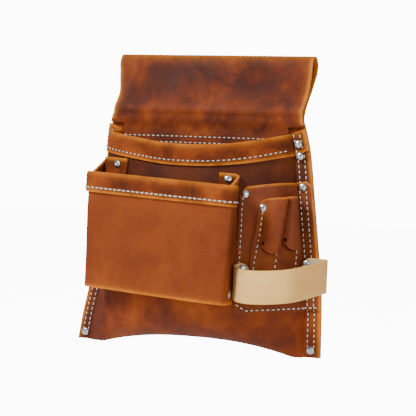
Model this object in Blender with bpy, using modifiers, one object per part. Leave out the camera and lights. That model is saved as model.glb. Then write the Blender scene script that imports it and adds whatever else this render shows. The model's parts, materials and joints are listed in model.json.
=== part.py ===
"""Leather tool pouch: a wide belt bag with a box pocket, a flat tool pocket and a hammer loop.

Metres, +Z up, front towards -Y.  The design is laid out from the bottom corners of the bag, with the
rear face of the back panel at y = 0, and hangs from an empty that puts the frame's origin at the
middle of the belt tunnel.
"""
import math

import bmesh
import bpy
from mathutils import Matrix, Vector

MM = 0.001

# ---- driving dimensions -------------------------------------------------------------------------
bag_height = 316 * MM            # bottom corners to the top of the belt fold
bottom_half_width = 140 * MM     # middle of the bag to a bottom corner
leather = 2.4 * MM               # thickness of the bag hide
strap_leather = 3.0 * MM         # thickness of the pale strap
gap = 0.6 * MM                   # air between two layers of hide
pocket_depth = 46 * MM           # how far the main pocket bulges in front of its seams
mouth_dip = 22 * MM              # how far the mouth drops between the seams
bottom_arch = 13 * MM            # how far the bottom edge arches up between the corners
bottom_roll = 42 * MM            # height over which the bottom rounds into the front
hem_height = 20 * MM             # turned-down part of the main mouth
right_flange = 18 * MM           # flat sewn margin, tool pocket side
left_flange = 15.5 * MM          # flat sewn margin, box pocket side

mouth_height = 236 * MM          # mouth of the main pocket at the seams
waist_height = 248 * MM          # the line on which the bag bends under the belt
waist_half_width = 0.782 * bottom_half_width
top_half_width = 0.8036 * bottom_half_width
waist_slit = 4 * MM              # height left free for the bend between the two bodies
tail_end_height = 214 * MM       # lower edge of the front layer of the fold
tail_inset = 21 * MM             # that layer is this much narrower inside the mouth, on each side
tail_swell = 3.2 * MM            # how far it stands away from the back where the tunnel opens
tail_closed_height = 233 * MM    # below this it lies on the back panel
tunnel_depth = 22 * MM           # outside depth of the belt tunnel near its top
tunnel_lean = 18 * MM            # how far the tunnel leans back behind the back panel

box_height = 120 * MM            # front panel of the box pocket
box_bottom_height = 57 * MM
box_tilt = 0.052                 # the whole pocket drops this much for each metre to the right
box_tilt_middle = -15 * MM       # place across the bag where its heights are the ones named here
box_rear_rise = 14 * MM          # side walls rise this much towards the bag
box_hem_height = 19 * MM
box_left = -0.7214 * bottom_half_width          # edges of the front panel at its top
box_right = 0.5143 * bottom_half_width
box_left_bottom = -0.75 * bottom_half_width
box_right_bottom = 0.4286 * bottom_half_width
box_left_fold = -0.6929 * bottom_half_width     # where its side walls turn onto the bag
box_right_fold = 0.3893 * bottom_half_width
box_left_front = -(pocket_depth + 30 * MM)      # places of the front panel's corners, top and bottom
box_right_front = -(pocket_depth + 48 * MM)
box_left_front_bottom = -(pocket_depth + 17 * MM)
box_right_front_bottom = -(pocket_depth + 37 * MM)
box_flange = 19 * MM             # inward flange on the bag, behind the side walls
box_corner = 8 * MM              # corner radius of the front
box_belly = 3 * MM               # outward bow of the front panel
box_right_belly = 3 * MM         # outward bow of the right wall near its bottom
box_tab = 15 * MM                # tabs of the floor, riveted inside the side walls
box_tab_bend = 2.5 * MM
box_front_points = (6, 5)        # points of the pocket's plan before and after its front panel

tool_left = 0.4107 * bottom_half_width           # left edge of the tool pocket
tool_top_left = 174 * MM
tool_top_right = 184 * MM
tool_bottom_left = 43 * MM
tool_bottom_right = 50 * MM
tool_gape = 8 * MM               # how far its mouth stands open
tool_flat = 13 * MM              # flat sewn margin at its left

sleeve_left = 0.5 * bottom_half_width           # edges of the sleeve piece, at its slits and its top
sleeve_left_top = 0.5321 * bottom_half_width
sleeve_right = 0.7893 * bottom_half_width
sleeve_right_top = 0.75 * bottom_half_width
sleeve_middle = 0.6536 * bottom_half_width      # seam between the two sleeves
sleeve_margin = 8 * MM           # flat sewn margin at the left
sleeve_top_left = 160 * MM
sleeve_top_right = 167 * MM
sleeve_slit_left = 108 * MM      # height of the slit under the left sleeve
sleeve_slit_right = 113 * MM
sleeve_bottom = 64 * MM
sleeve_bulge = 10 * MM           # how far the sleeves stand out
sleeve_lean = 4 * MM             # how far they lean towards the edge of the bag

strap_width = 34 * MM
tab_left_height = 79 * MM        # middle of the left riveted tab
tab_right_height = 87 * MM
tab_left_x = (0.4214 * bottom_half_width, 0.4893 * bottom_half_width)
tab_right_reach = 20 * MM
strap_reach = 29 * MM            # how far the loop stands in front of its left tab
strap_droop = 6 * MM

rivet_head = 8.8 * MM
rivet_dome = 1.7 * MM
rivet_post = 3.4 * MM
rivet_end = 6.4 * MM
rivet_sides = 10
rivet_clearance = 0.4 * MM
seat = 0.3 * MM                  # air under a head
rivet_rim = 0.9 * MM             # thickness of the rolled end
thread = 1.1 * MM                # thickness of the sewing thread
tunnel_row_upper = 226 * MM      # the two rows that close the belt tunnel
tunnel_row_lower = 219 * MM
hem_row = 4.4 * MM               # hem rows, above the raw edge
box_hem_row = 4.6 * MM
tool_row = 4 * MM                # tool pocket rows, from its edges
tab_rivet_spacing = 22 * MM
row_outer = 6.5 * MM             # right seam rows, from the edge
row_inner = 13.5 * MM
left_row_outer = 5 * MM
left_row_inner = 10.5 * MM
seam_rivet_heights = {           # rivets through the sewn margins of both seams
    "bottom": 8 * MM,
    "upper": mouth_height - 27 * MM,
    "top": mouth_height - 14.5 * MM,
}
rivet_drop = 7 * MM              # pocket rivets, below the pockets' top edges

# ---- distances that follow from them --------------------------------------------------------------
layer = leather + gap                       # from the middle of one hide to the next one on it
flange_y = -(layer + leather / 2)           # middle of the front hide where it lies on the back
above = leather / 2 + thread / 2 + gap      # middle of a thread over the hide it lies on
under_thread = thread + 2 * gap             # a head on a sewn margin stands over the thread
tab_left_lift = (leather + strap_leather) / 2 + under_thread    # the tabs lie over sewn rows
tab_right_lift = tab_left_lift + 2.2 * MM   # and this one over the turn of the tool pocket


# ---- helpers -------------------------------------------------------------------------------------
def smooth_through(points, value):
    """Height of a smooth curve through the given (place, height) points."""
    if value <= points[0][0]:
        return points[0][1]
    if value >= points[-1][0]:
        return points[-1][1]
    last = len(points) - 1
    for index in range(last):
        (x0, y0), (x1, y1) = points[index], points[index + 1]
        if value <= x1:
            break
    before = points[max(index - 1, 0)]
    after = points[min(index + 2, last)]
    slope0 = (y1 - before[1]) / (x1 - before[0])
    slope1 = (after[1] - y0) / (after[0] - x0)
    span = x1 - x0
    t = (value - x0) / span
    a = (1 + 2 * t) * (1 - t) ** 2
    b = t * (1 - t) ** 2
    c = t * t * (3 - 2 * t)
    d = t * t * (t - 1)
    return a * y0 + b * span * slope0 + c * y1 + d * span * slope1


def smooth_path(points, steps):
    """Points along a smooth curve through vectors, with `steps` points for each span."""
    path = []
    last = len(points) - 1
    for index in range(last):
        p1, p2 = points[index], points[index + 1]
        p0 = points[max(index - 1, 0)]
        p3 = points[min(index + 2, last)]
        for step in range(steps):
            t = step / steps
            path.append(0.5 * (2 * p1 + (p2 - p0) * t + (2 * p0 - 5 * p1 + 4 * p2 - p3) * t * t
                               + (3 * p1 - p0 - 3 * p2 + p3) * t ** 3))
    path.append(points[last].copy())
    return path


def mix(low, high, t):
    return low + (high - low) * t


def ease(t):
    t = min(max(t, 0.0), 1.0)
    return t * t * (3 - 2 * t)


# ---- the outline and the bulging front ------------------------------------------------------------
def half_width(side, z):
    """Distance from the middle to the edge of the bag at height z, on the side +1 or -1."""
    k = bottom_half_width
    if side > 0:
        outline = [(0, k), (0.2, 0.985 * k), (0.33, 0.952 * k), (0.53, 0.893 * k), (0.67, 0.85 * k),
                   (0.75, 0.806 * k), (waist_height / bag_height, waist_half_width),
                   (0.88, top_half_width), (1, top_half_width)]
    else:
        outline = [(0, k), (0.1, 0.965 * k), (0.2, 0.92 * k), (0.38, 0.865 * k), (0.58, 0.83 * k),
                   (0.75, 0.806 * k), (waist_height / bag_height, waist_half_width),
                   (0.88, top_half_width), (1, top_half_width)]
    return smooth_through(outline, z / bag_height)


def flange(side):
    return right_flange if side > 0 else left_flange


def depth_at(z):
    """Greatest bulge of the main pocket at height z, above the rounded bottom."""
    return pocket_depth * smooth_through([(0, 1.0), (0.45, 1.04), (0.75, 1.0), (1.0, 0.86)],
                                         z / mouth_height)


def bulge_share(x, z):
    side = 1 if x >= 0 else -1
    f = min(abs(x) / (half_width(side, z) - flange(side)), 1.0)
    fullness = 0.8 if side > 0 else 0.62
    return (1 - f ** 2.4) ** fullness if f < 1 else 0.0


def bottom_edge(x):
    f = min(abs(x) / (0.78 * bottom_half_width), 1.0)
    return bottom_arch * (1 - f ** 2.4)


def mouth_edge(x):
    f = min(abs(x) / (0.806 * bottom_half_width), 1.0)
    return mouth_height - mouth_dip * (1 - f ** 2.2)


def roll_angle(x, z):
    """Angle round the rounded bottom: 0 under the bag, a quarter turn where the front is upright."""
    rise = (z - bottom_edge(x)) / bottom_roll
    return math.acos(1 - min(max(rise, 0.0), 1.0))


def front_y(x, z):
    """Middle of the main pocket's front hide."""
    return flange_y - depth_at(z) * bulge_share(x, z) * math.sin(roll_angle(x, z))


def front_normal(x, z):
    d = 1.0 * MM
    slope_x = (front_y(x + d, z) - front_y(x - d, z)) / (2 * d)
    slope_z = (front_y(x, z + d) - front_y(x, z - d)) / (2 * d)
    return Vector((slope_x, -1, slope_z)).normalized()


def on_front(x, z, lift):
    """A point at a lift above the middle of the front hide, and never nearer to it than that."""
    place = Vector((x, front_y(x, z), z)) + front_normal(x, z) * lift
    place.y = min(place.y, front_y(place.x, place.z) - lift)
    return place


def surface_normal(surface, x, z, lift):
    d = 1.5 * MM
    across = surface(x + d, z, lift) - surface(x - d, z, lift)
    up = surface(x, z + d, lift) - surface(x, z - d, lift)
    return across.cross(up).normalized()


# ---- objects -------------------------------------------------------------------------------------
def clear_scene():
    for item in list(bpy.data.objects):
        bpy.data.objects.remove(item, do_unlink=True)


def new_collection(name):
    collection = bpy.data.collections.new(name)
    bpy.context.scene.collection.children.link(collection)
    return collection


def make_material(name, colour, roughness, metallic=0.0):
    material = bpy.data.materials.new(name)
    material.use_nodes = True
    shader = material.node_tree.nodes["Principled BSDF"]
    shader.inputs["Base Color"].default_value = (*colour, 1)
    shader.inputs["Roughness"].default_value = roughness
    shader.inputs["Metallic"].default_value = metallic
    material.diffuse_color = (*colour, 1)
    return material


def add_object(name, data, material, parent, collection):
    item = bpy.data.objects.new(name, data)
    item.data.materials.append(material)
    item.parent = parent
    collection.objects.link(item)
    return item


def grid_mesh(name, row_sets):
    """A sheet from sets of rows of points, joined where one set starts on another's last row."""
    mesh = bpy.data.meshes.new(name)
    sheet = bmesh.new()
    for row_set in row_sets:
        grid = [[sheet.verts.new(point) for point in row] for row in row_set]
        for low, high in zip(grid, grid[1:]):
            for k in range(len(low) - 1):
                sheet.faces.new((low[k], low[k + 1], high[k + 1], high[k]))
    bmesh.ops.remove_doubles(sheet, verts=sheet.verts, dist=0.01 * MM)
    sheet.to_mesh(mesh)
    sheet.free()
    mesh.shade_smooth()
    return mesh


def thicken(item, thickness):
    """Gives a sheet its thickness, half to each side."""
    wall = item.modifiers.new("thickness", "SOLIDIFY")
    wall.thickness = thickness
    wall.offset = 0.0


def leather_sheet(name, row_sets, thickness, look):
    item = add_object(name, grid_mesh(name, row_sets), look, hanger, parts)
    thicken(item, thickness)
    return item


def thread_row(name, points):
    """One sewn row, as the thread that lies on the hide."""
    curve = bpy.data.curves.new(name, "CURVE")
    curve.dimensions = "3D"
    spline = curve.splines.new("POLY")
    spline.points.add(len(points) - 1)
    for point, place in zip(spline.points, points):
        point.co = (*place, 1)
    curve.bevel_depth = thread / 2
    curve.bevel_resolution = 2
    curve.render_resolution_u = 0
    curve.use_fill_caps = True
    return add_object(name, curve, thread_look, hanger, parts)


def rivet(name, place, normal, grip):
    """A tubular rivet: a domed head, a post through the layers and a rolled end behind them."""
    mesh = bpy.data.meshes.new(name)
    profile = bmesh.new()
    head, post, end = rivet_head / 2, rivet_post / 2, rivet_end / 2
    outline = [(0, rivet_dome), (0.62 * head, 0.74 * rivet_dome), (head, 0.25 * rivet_dome), (head, 0),
               (post, 0), (post, -grip), (end, -grip), (0.8 * end, -grip - rivet_rim),
               (0, -grip - rivet_rim)]
    ring = [profile.verts.new((radius, 0, height)) for radius, height in outline]
    for upper, lower in zip(ring, ring[1:]):
        profile.edges.new((upper, lower))
    profile.to_mesh(mesh)
    profile.free()
    item = add_object(name, mesh, rivet_look, hanger, parts)
    turn = item.modifiers.new("turned", "SCREW")
    turn.steps = rivet_sides
    turn.render_steps = rivet_sides
    turn.use_merge_vertices = True
    turn.merge_threshold = 0.00001
    turn.use_smooth_shade = True
    item.location = place
    item.rotation_euler = normal.to_track_quat("Z", "Y").to_euler()
    return item


def add_drill(cutter, place, normal, start, depth, radius):
    """One round drill that starts at a height over the place and runs down against the normal."""
    turn = normal.to_track_quat("Z", "Y").to_matrix().to_4x4()
    middle = place + normal * (start - depth / 2)
    bmesh.ops.create_cone(cutter, cap_ends=True, segments=rivet_sides, depth=depth, radius1=radius,
                          radius2=radius, matrix=Matrix.Translation(middle) @ turn)


def cut_rivet_holes(item, holes, wide):
    """Cuts the posts' holes, and wider seats in the rear face for the rolled ends, with one cutter."""
    mesh = bpy.data.meshes.new(item.name + "_holes")
    cutter_mesh = bmesh.new()
    for place, normal, reach in holes:
        add_drill(cutter_mesh, place, normal, 2 * MM, reach, rivet_post / 2 + rivet_clearance)
    cutter_mesh.to_mesh(mesh)
    cutter_mesh.free()
    add_cutter(item, mesh, "rivet holes")
    if wide:
        seats = bpy.data.meshes.new(item.name + "_seats")
        cutter_mesh = bmesh.new()
        for place in wide:
            add_drill(cutter_mesh, place, Vector((0, 1, 0)), 3 * MM, 3 * MM + rivet_rim + 2 * seat,
                      rivet_end / 2 + rivet_clearance)
        cutter_mesh.to_mesh(seats)
        cutter_mesh.free()
        add_cutter(item, seats, "rivet seats")


def add_cutter(item, mesh, label):
    cutter = bpy.data.objects.new(mesh.name, mesh)
    cutter.parent = hanger
    cutter.hide_render = True
    cutter.display_type = "WIRE"
    cutters.objects.link(cutter)
    cut = item.modifiers.new(label, "BOOLEAN")
    cut.operation = "DIFFERENCE"
    cut.solver = "EXACT"
    cut.object = cutter


# ---- bag -----------------------------------------------------------------------------------------
def bag_columns(z, count):
    """Places across the bag at height z: denser where the front turns into its flanges."""
    places = []
    for side in (-1, 1):
        inner = half_width(side, z) - flange(side)
        half = [side * inner * (1 - (1 - k / count) ** 1.35) for k in range(0 if side > 0 else 1, count + 1)]
        half.append(side * (inner + 0.5 * flange(side)))
        half.append(side * half_width(side, z))
        places.append(half)
    return places[0][::-1] + places[1]


def main_front_rows():
    count = 11
    columns = len(bag_columns(0, count))
    roll_steps, wall_steps, fold_steps = 7, 9, 6
    fold_radius = (leather + gap) / 2
    rows = []
    for k in range(roll_steps + 1):
        angle = math.pi / 2 * k / roll_steps
        row = []
        for index in range(columns):
            z = 0.0
            for _ in range(3):
                x = bag_columns(z, count)[index]
                z = bottom_edge(x) + bottom_roll * (1 - math.cos(angle))
            y = flange_y - depth_at(z) * bulge_share(x, z) * math.sin(angle)
            row.append(Vector((x, y, z)))
        rows.append(row)
    for k in range(1, wall_steps + 1):
        row = []
        for index in range(columns):
            start = rows[roll_steps][index].z
            x = rows[-1][index].x
            for _ in range(3):
                z = mix(start, mouth_edge(x), k / wall_steps)
                x = bag_columns(z, count)[index]
            row.append(Vector((x, front_y(x, z), z)))
        rows.append(row)
    mouth = rows[-1]
    outward = [front_normal(point.x, point.z) for point in mouth]
    for normal in outward:
        normal.z = 0
        normal.normalize()
    for k in range(1, fold_steps + 1):
        angle = math.pi * k / fold_steps
        rows.append([point + normal * fold_radius * (1 - math.cos(angle))
                     + Vector((0, 0, fold_radius * math.sin(angle)))
                     for point, normal in zip(mouth, outward)])
    for share in (0.33, 0.66, 1.0):
        drop = hem_height * share
        rows.append([on_front(bag_columns(point.z - drop, count)[index], point.z - drop, 2 * fold_radius)
                     for index, point in enumerate(mouth)])
    return rows


def back_rows():
    heights = [k / 12 for k in range(13)]
    rows = []
    for share in heights:
        row = []
        for across in [k / 8 - 1 for k in range(17)]:
            side = 1 if across > 0 else -1
            low = bottom_edge(across * bottom_half_width)
            z = mix(low, waist_height - waist_slit / 2, share)
            row.append(Vector((across * half_width(side, z), -leather / 2, z)))
        rows.append(row)
    return rows


def tunnel_path():
    """Middle of the hide round the belt tunnel, as (y, z): up the back, over, and down the front."""
    low = waist_height + waist_slit / 2
    top = bag_height - leather / 2
    depth = tunnel_depth - leather
    back = tunnel_lean + depth / 2
    front = tunnel_lean - depth / 2
    points = [(-leather / 2, low), (0.12 * back, mix(low, top, 0.25)), (0.5 * back, mix(low, top, 0.5)),
              (0.9 * back, mix(low, top, 0.74)), (back, mix(low, top, 0.88)),
              (mix(back, front, 0.2), mix(low, top, 0.975)), (mix(back, front, 0.5), top),
              (mix(back, front, 0.82), mix(low, top, 0.965)), (front, mix(low, top, 0.85)),
              (front - 2 * MM, mix(low, top, 0.7)), (front - 7.5 * MM, mix(low, top, 0.45)),
              (tail_y(low) - 1 * MM, mix(low, top, 0.2)), (tail_y(low), low)]
    return smooth_path([Vector((0, y, z)) for y, z in points], 3)


def tail_y(z):
    """Middle of the front layer of the fold, which closes onto the back panel where it is sewn."""
    opening = (z - tail_closed_height) / (waist_height - tail_closed_height)
    return flange_y - tail_swell * ease(opening)


def tunnel_rows():
    rows = []
    for point in tunnel_path():
        left, right = half_width(-1, point.z), half_width(1, point.z)
        rows.append([Vector((x, point.y, point.z)) for x in (-left, 0, right)])
    return rows


def tail_rows():
    rows = []
    top = waist_height - waist_slit / 2
    for k in range(11):
        z = mix(top, tail_end_height, (k / 10) ** 1.6)
        inset = tail_inset * ease((top - z) / (top - mouth_height - 2 * leather))
        left, right = half_width(-1, z) - inset, half_width(1, z) - inset
        rows.append([Vector((x, tail_y(z), z)) for x in (-left, 0, right)])
    return rows


# ---- box pocket ----------------------------------------------------------------------------------
def plan_normal(plan, index):
    """Outward direction of the box pocket's hide, level, at one point of its plan."""
    tangent = plan[min(index + 1, len(plan) - 1)] - plan[max(index - 1, 0)]
    return Vector((tangent.y, -tangent.x, 0)).normalized()


def tilted(x, z):
    """Height on the tilted pocket of what its plans hold at height z."""
    return z - box_tilt * (x - box_tilt_middle)


def on_front_tilted(x, z, lift):
    return on_front(x, tilted(x, z), lift)


def box_plan(z):
    """Middle of the box pocket's hide at height z, from the left flange round to the right one."""
    t = min((z - box_bottom_height) / box_height, 1.0)
    left = Vector((mix(box_left_bottom, box_left, t), mix(box_left_front_bottom, box_left_front, t), 0))
    right = Vector((mix(box_right_bottom, box_right, t), mix(box_right_front_bottom, box_right_front, t), 0))
    along = (right - left).normalized()
    forward = Vector((along.y, -along.x, 0))
    turn = 3 * MM
    reaches = (box_flange, box_flange / 2, turn)
    flanges = [[on_front_tilted(fold + way * reach, z, layer) for reach in reaches]
               for fold, way in ((box_left_fold, 1), (box_right_fold, -1))]
    left_start = on_front_tilted(box_left_fold, z, layer + turn)
    right_start = on_front_tilted(box_right_fold, z, layer + turn)
    for point in (left_start, right_start):
        point.z = 0
    waist = right_start.lerp(right, 0.5)
    waist.x = mix(right.x, box_right_fold, 0.75) + box_right_belly * (1 - t)
    points = flanges[0] + [left_start, left_start.lerp(left, 0.3), left_start.lerp(left, 0.65)]
    points += corner(left, (left - left_start).normalized(), along)
    for k in range(1, 10):
        share = k / 10
        bow = box_belly * math.sin(math.pi * share)
        points.append(left.lerp(right, mix(0.07, 0.93, share)) + forward * bow)
    points += corner(right, along, (waist - right).normalized())
    points += [waist, waist.lerp(right_start, 0.55), right_start] + flanges[1][::-1]
    for point in points:
        point.z = tilted(point.x, z)
    return points


def corner(place, before, after):
    """Three points that round a corner."""
    first = place - before * box_corner
    last = place + after * box_corner
    return [first, place.lerp(first.lerp(last, 0.5), 0.5), last]


def box_front_share(index, total):
    """0 on the flanges, 1 on the front panel, smooth along the side walls."""
    return ease((index - 2) / 4) * ease((total - 3 - index) / 4)


def box_rows():
    rows = []
    steps = 8
    total = len(box_plan(box_bottom_height))
    for k in range(steps + 1):
        row = []
        for index in range(total):
            rise = box_rear_rise * (1 - box_front_share(index, total))
            z = box_bottom_height + (box_height + rise) * k / steps
            row.append(box_plan(z)[index])
        rows.append(row)
    return rows


def box_hem_rows():
    """The front panel's edge, folded over and turned down in front; its first row is the shell's."""
    radius = (leather + gap) / 2
    top = box_bottom_height + box_height
    fold_steps = 6
    turns = [math.pi * k / fold_steps for k in range(fold_steps + 1)]
    section = [(radius * (1 - math.cos(turn)), top + radius * math.sin(turn)) for turn in turns]
    section += [(2 * radius, top - box_hem_height * share) for share in (0.33, 0.66, 1.0)]
    rows = []
    for lift, z in section:
        plan = box_plan(min(z, top))
        row = []
        for index in range(box_front_points[0], len(plan) - box_front_points[1]):
            place = plan[index] + plan_normal(plan, index) * lift
            place.z = tilted(plan[index].x, z)
            row.append(place)
        rows.append(row)
    return rows


def wall_x(plan, y, side):
    """Where the side wall stands at depth y, in one plan of the box pocket."""
    walk = plan[3:9] if side < 0 else plan[-4:-10:-1]
    for near, far in zip(walk, walk[1:]):
        if min(near.y, far.y) <= y <= max(near.y, far.y):
            return mix(near.x, far.x, (y - near.y) / (far.y - near.y))
    return walk[-1].x if y < walk[-1].y else walk[0].x


def box_floor_rows():
    """The floor of the box pocket, with a tab turned up against each side wall."""
    z_floor = box_bottom_height + 1.3 * leather
    plan = box_plan(z_floor)
    inset = leather + 2 * gap
    bend = box_tab_bend
    tab = [(0, box_tab), (0, 0.55 * box_tab), (0, bend), (0.3 * bend, 0.3 * bend), (bend, 0)]
    front_left = plan[box_front_points[0] + 1].y + 1.85 * inset
    front_right = plan[-2 - box_front_points[1]].y + 1.85 * inset
    rear_left = on_front_tilted(box_left_fold, z_floor, 0).y - 4.4 * inset
    rear_right = on_front_tilted(box_right_fold, z_floor, 0).y - 4 * inset
    rows = []
    for share in [k / 7 for k in range(8)]:
        left_x = wall_x(plan, mix(front_left, rear_left, share), -1) + inset + 2 * gap
        right_x = wall_x(plan, mix(front_right, rear_right, share), 1) - inset - gap
        section = [(left_x + reach, rise) for reach, rise in tab]
        section += [(mix(left_x, right_x, step / 8), 0) for step in range(1, 8)]
        section += [(right_x - reach, rise) for reach, rise in tab[::-1]]
        row = []
        for x, rise in section:
            across = (x - left_x) / (right_x - left_x)
            beside_wall = layer + 4 * gap if min(x - left_x, right_x - x) < box_flange else 0
            heights = (0, box_tab) if rise > 0 else (0,)
            rear = min(on_front_tilted(x, z_floor + up, beside_wall + layer).y for up in heights) - gap
            front = mix(front_left, front_right, across)
            row.append(Vector((x, mix(front, rear, share), tilted(x, z_floor) + rise)))
        rows.append(row)
    return rows


# ---- tool pocket and sleeves ---------------------------------------------------------------------
def tool_lift_at(x, z):
    """Lift of the tool pocket's hide: it stands away from the bag towards its mouth."""
    start = tool_left + tool_flat
    across = (x - start) / (half_width(1, z) - right_flange - start)
    if not 0 < across < 1:
        return layer
    up = (z - tool_bottom_left) / (mix(tool_top_left, tool_top_right, across) - tool_bottom_left)
    return layer + tool_gape * math.sin(math.pi * across) ** 1.2 * ease(up * 1.25 - 0.15)


def on_tool(x, z, lift):
    return on_front(x, z, tool_lift_at(x, z) + lift)


def tool_rows():
    """The flat pocket, with a column of points where it turns onto the sewn margin."""
    rows = []
    inner_steps = 12
    for k in range(13):
        row = []
        for column in range(inner_steps + 4):
            z = mix(tool_bottom_left, tool_top_left, k / 12)
            for _ in range(3):
                edge = half_width(1, z)
                if column <= inner_steps:
                    x = mix(tool_left, edge - right_flange, column / inner_steps)
                else:
                    x = mix(edge - right_flange, edge, (column - inner_steps) / 3)
                across = (x - tool_left) / (edge - tool_left)
                high = mix(tool_top_left, tool_top_right, across) - 5 * MM * max(0, column - inner_steps - 2)
                z = mix(mix(tool_bottom_left, tool_bottom_right, across), high, k / 12)
            row.append(on_tool(x, z, 0))
        rows.append(row)
    return rows


def sleeve_edges(z):
    """Left and right edges of the sleeve piece at height z: it widens downwards."""
    left = smooth_through([(sleeve_bottom, sleeve_left), (sleeve_slit_left, sleeve_left),
                           (sleeve_top_left, sleeve_left_top)], z)
    right = smooth_through([(sleeve_bottom, sleeve_right), (sleeve_slit_left, sleeve_right),
                            (sleeve_top_left, sleeve_right_top)], z)
    return left, right


def sleeve_section(z, puff):
    """Across the sleeve piece at height z: (x, lift) points, with `puff` from 0, flat, to 1."""
    left, right = sleeve_edges(z)
    points = [(left, 0), (left + sleeve_margin / 2, 0), (left + sleeve_margin, 0)]
    sleeves = ((left + sleeve_margin, sleeve_middle - 1 * MM), (sleeve_middle + 2.5 * MM, right - 3 * MM))
    for start, end in sleeves:
        for k in range(1, 9):
            t = k / 9
            rise = sleeve_bulge * puff * math.sin(math.pi * t) ** 0.8
            points.append((mix(start, end, t) + sleeve_lean * rise / sleeve_bulge * t, rise))
        points.append((end, 0))
        if end < right - 5 * MM:
            points.append((end + 3.5 * MM, 0))
    points.append((right, 0))
    return points


def sleeve_rows():
    """The flat base and, above its slits, the two sleeves."""
    def row(share, low, high, puff):
        flat = sleeve_section(mix(sleeve_slit_left, sleeve_top_left, share) if puff else low[0], 0)
        heights = []
        for x, _ in flat:
            across = (x - sleeve_left) / (sleeve_right - sleeve_left)
            heights.append(mix(mix(low[0], low[1], across), mix(high[0], high[1], across), share))
        section = sleeve_section(heights[0], puff)
        return [on_tool(x, z, layer + lift) for (x, lift), z in zip(section, heights)]
    bottom = (sleeve_bottom, sleeve_bottom)
    slit = (sleeve_slit_left, sleeve_slit_right)
    top = (sleeve_top_left, sleeve_top_right)
    lower = [row(k / 4, bottom, slit, 0) for k in range(5)]
    upper = [row(k / 5, slit, top, mix(0.85, 1.0, k / 5)) for k in range(6)]
    return lower, upper


# ---- hammer strap --------------------------------------------------------------------------------
def tab_rows(ends, middle_height, on_surface, lift):
    rows = []
    for k in range(5):
        z = middle_height + strap_width * (k / 4 - 0.5)
        rows.append([on_surface(mix(ends[0], ends[1], step / 5), z, lift) for step in range(6)])
    return rows


def tab_right_x():
    """Ends of the right tab, which starts clear of the turn of the tool pocket."""
    start = half_width(1, tab_right_height - strap_width / 2) - right_flange
    return start, start + tab_right_reach


def on_right_margin(x, z, lift):
    """The right tab lies flat on the sewn margin and runs on past the edge of the bag."""
    return Vector((x, flange_y - layer - lift, z))


def strap_path():
    left = on_tool(tab_left_x[0], tab_left_height, tab_left_lift)
    right = on_right_margin(tab_right_x()[1], tab_right_height, tab_right_lift)
    points = [Vector((left.x + 3.5 * MM, left.y - 10 * MM, 0)),
              Vector((left.x + 9 * MM, left.y - 18 * MM, 0)),
              Vector((mix(left.x, right.x, 0.33), left.y - 0.97 * strap_reach, 0)),
              Vector((mix(left.x, right.x, 0.6), left.y - strap_reach, 0)),
              Vector((mix(left.x, right.x, 0.86), left.y - 0.76 * strap_reach, 0)),
              Vector((right.x + 5 * MM, mix(left.y, right.y, 0.2), 0)),
              Vector((right.x + 10 * MM, mix(left.y, right.y, 0.62), 0)),
              Vector((right.x + 8 * MM, right.y - 8 * MM, 0))]
    path = smooth_path(points, 4)
    for index, point in enumerate(path):
        t = index / (len(path) - 1)
        point.z = mix(tab_left_height - 3 * MM, tab_right_height, ease(t))
        point.z -= strap_droop * math.sin(math.pi * t)
    return path


def strap_rows():
    path = strap_path()
    return [[point + Vector((0, 0, strap_width * up)) for point in path] for up in (-0.5, 0, 0.5)]


# ---- sewn rows -----------------------------------------------------------------------------------
def step_up(value, edge, lift):
    """A lift that is reached just before an edge of a top layer."""
    return lift * ease((value - edge + 5 * MM) / (2.2 * MM))


def right_seam_lift(x, z):
    """Height of the top layer on the right margin: the tool pocket, then the turned-down hem."""
    tool = step_up(z, tool_bottom_right, layer) - step_up(z, tool_top_right + 8 * MM, layer)
    return tool + step_up(z, mouth_edge(x) - hem_height - 0.8 * MM, layer)


def left_seam_lift(x, z):
    return step_up(z, mouth_edge(x) - hem_height, layer)


def seam_thread(name, side, inset, lift_at):
    low, high = 6 * MM, mouth_height - 6 * MM
    places = []
    for k in range(99):
        z = mix(low, high, k / 98)
        x = side * (half_width(side, z) - inset)
        places.append(Vector((x, flange_y - above - lift_at(x, z), z)))
    return thread_row(name, thinned(places))


def thinned(places):
    """Drops the points of a path that lie on a straight run between their neighbours."""
    kept = [places[0]]
    for here, after in zip(places[1:], places[2:]):
        run = (after - kept[-1]).normalized()
        off = (here - kept[-1]) - run * (here - kept[-1]).dot(run)
        if off.length > 0.12 * MM or (here - kept[-1]).length > 40 * MM:
            kept.append(here)
    kept.append(places[-1])
    return kept


def sew_body():
    for word, height in (("upper", tunnel_row_upper), ("lower", tunnel_row_lower)):
        reach = half_width(1, height) - tail_inset - 4 * MM
        places = [Vector((x, tail_y(height) - above, height)) for x in (-reach, 0, reach)]
        thread_row("thread_tunnel_" + word, places)
    places = []
    for k in range(29):
        x = mix(-0.68, 0.64, k / 28) * bottom_half_width
        z = mouth_edge(x) - hem_height + hem_row
        places.append(on_front(x, z, layer + above + 0.3 * MM))
    thread_row("thread_main_hem", thinned(places))
    plan = box_plan(box_bottom_height + box_height - box_hem_height + box_hem_row)
    front = range(box_front_points[0] + 1, len(plan) - box_front_points[1] - 1)
    places = [plan[index] + plan_normal(plan, index) * (layer + above) for index in front]
    thread_row("thread_box_hem", places)
    seam_thread("thread_seam_right_outer", 1, row_outer, right_seam_lift)
    seam_thread("thread_seam_right_inner", 1, row_inner, right_seam_lift)
    seam_thread("thread_seam_left_outer", -1, left_row_outer, left_seam_lift)
    seam_thread("thread_seam_left_inner", -1, left_row_inner, left_seam_lift)


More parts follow.
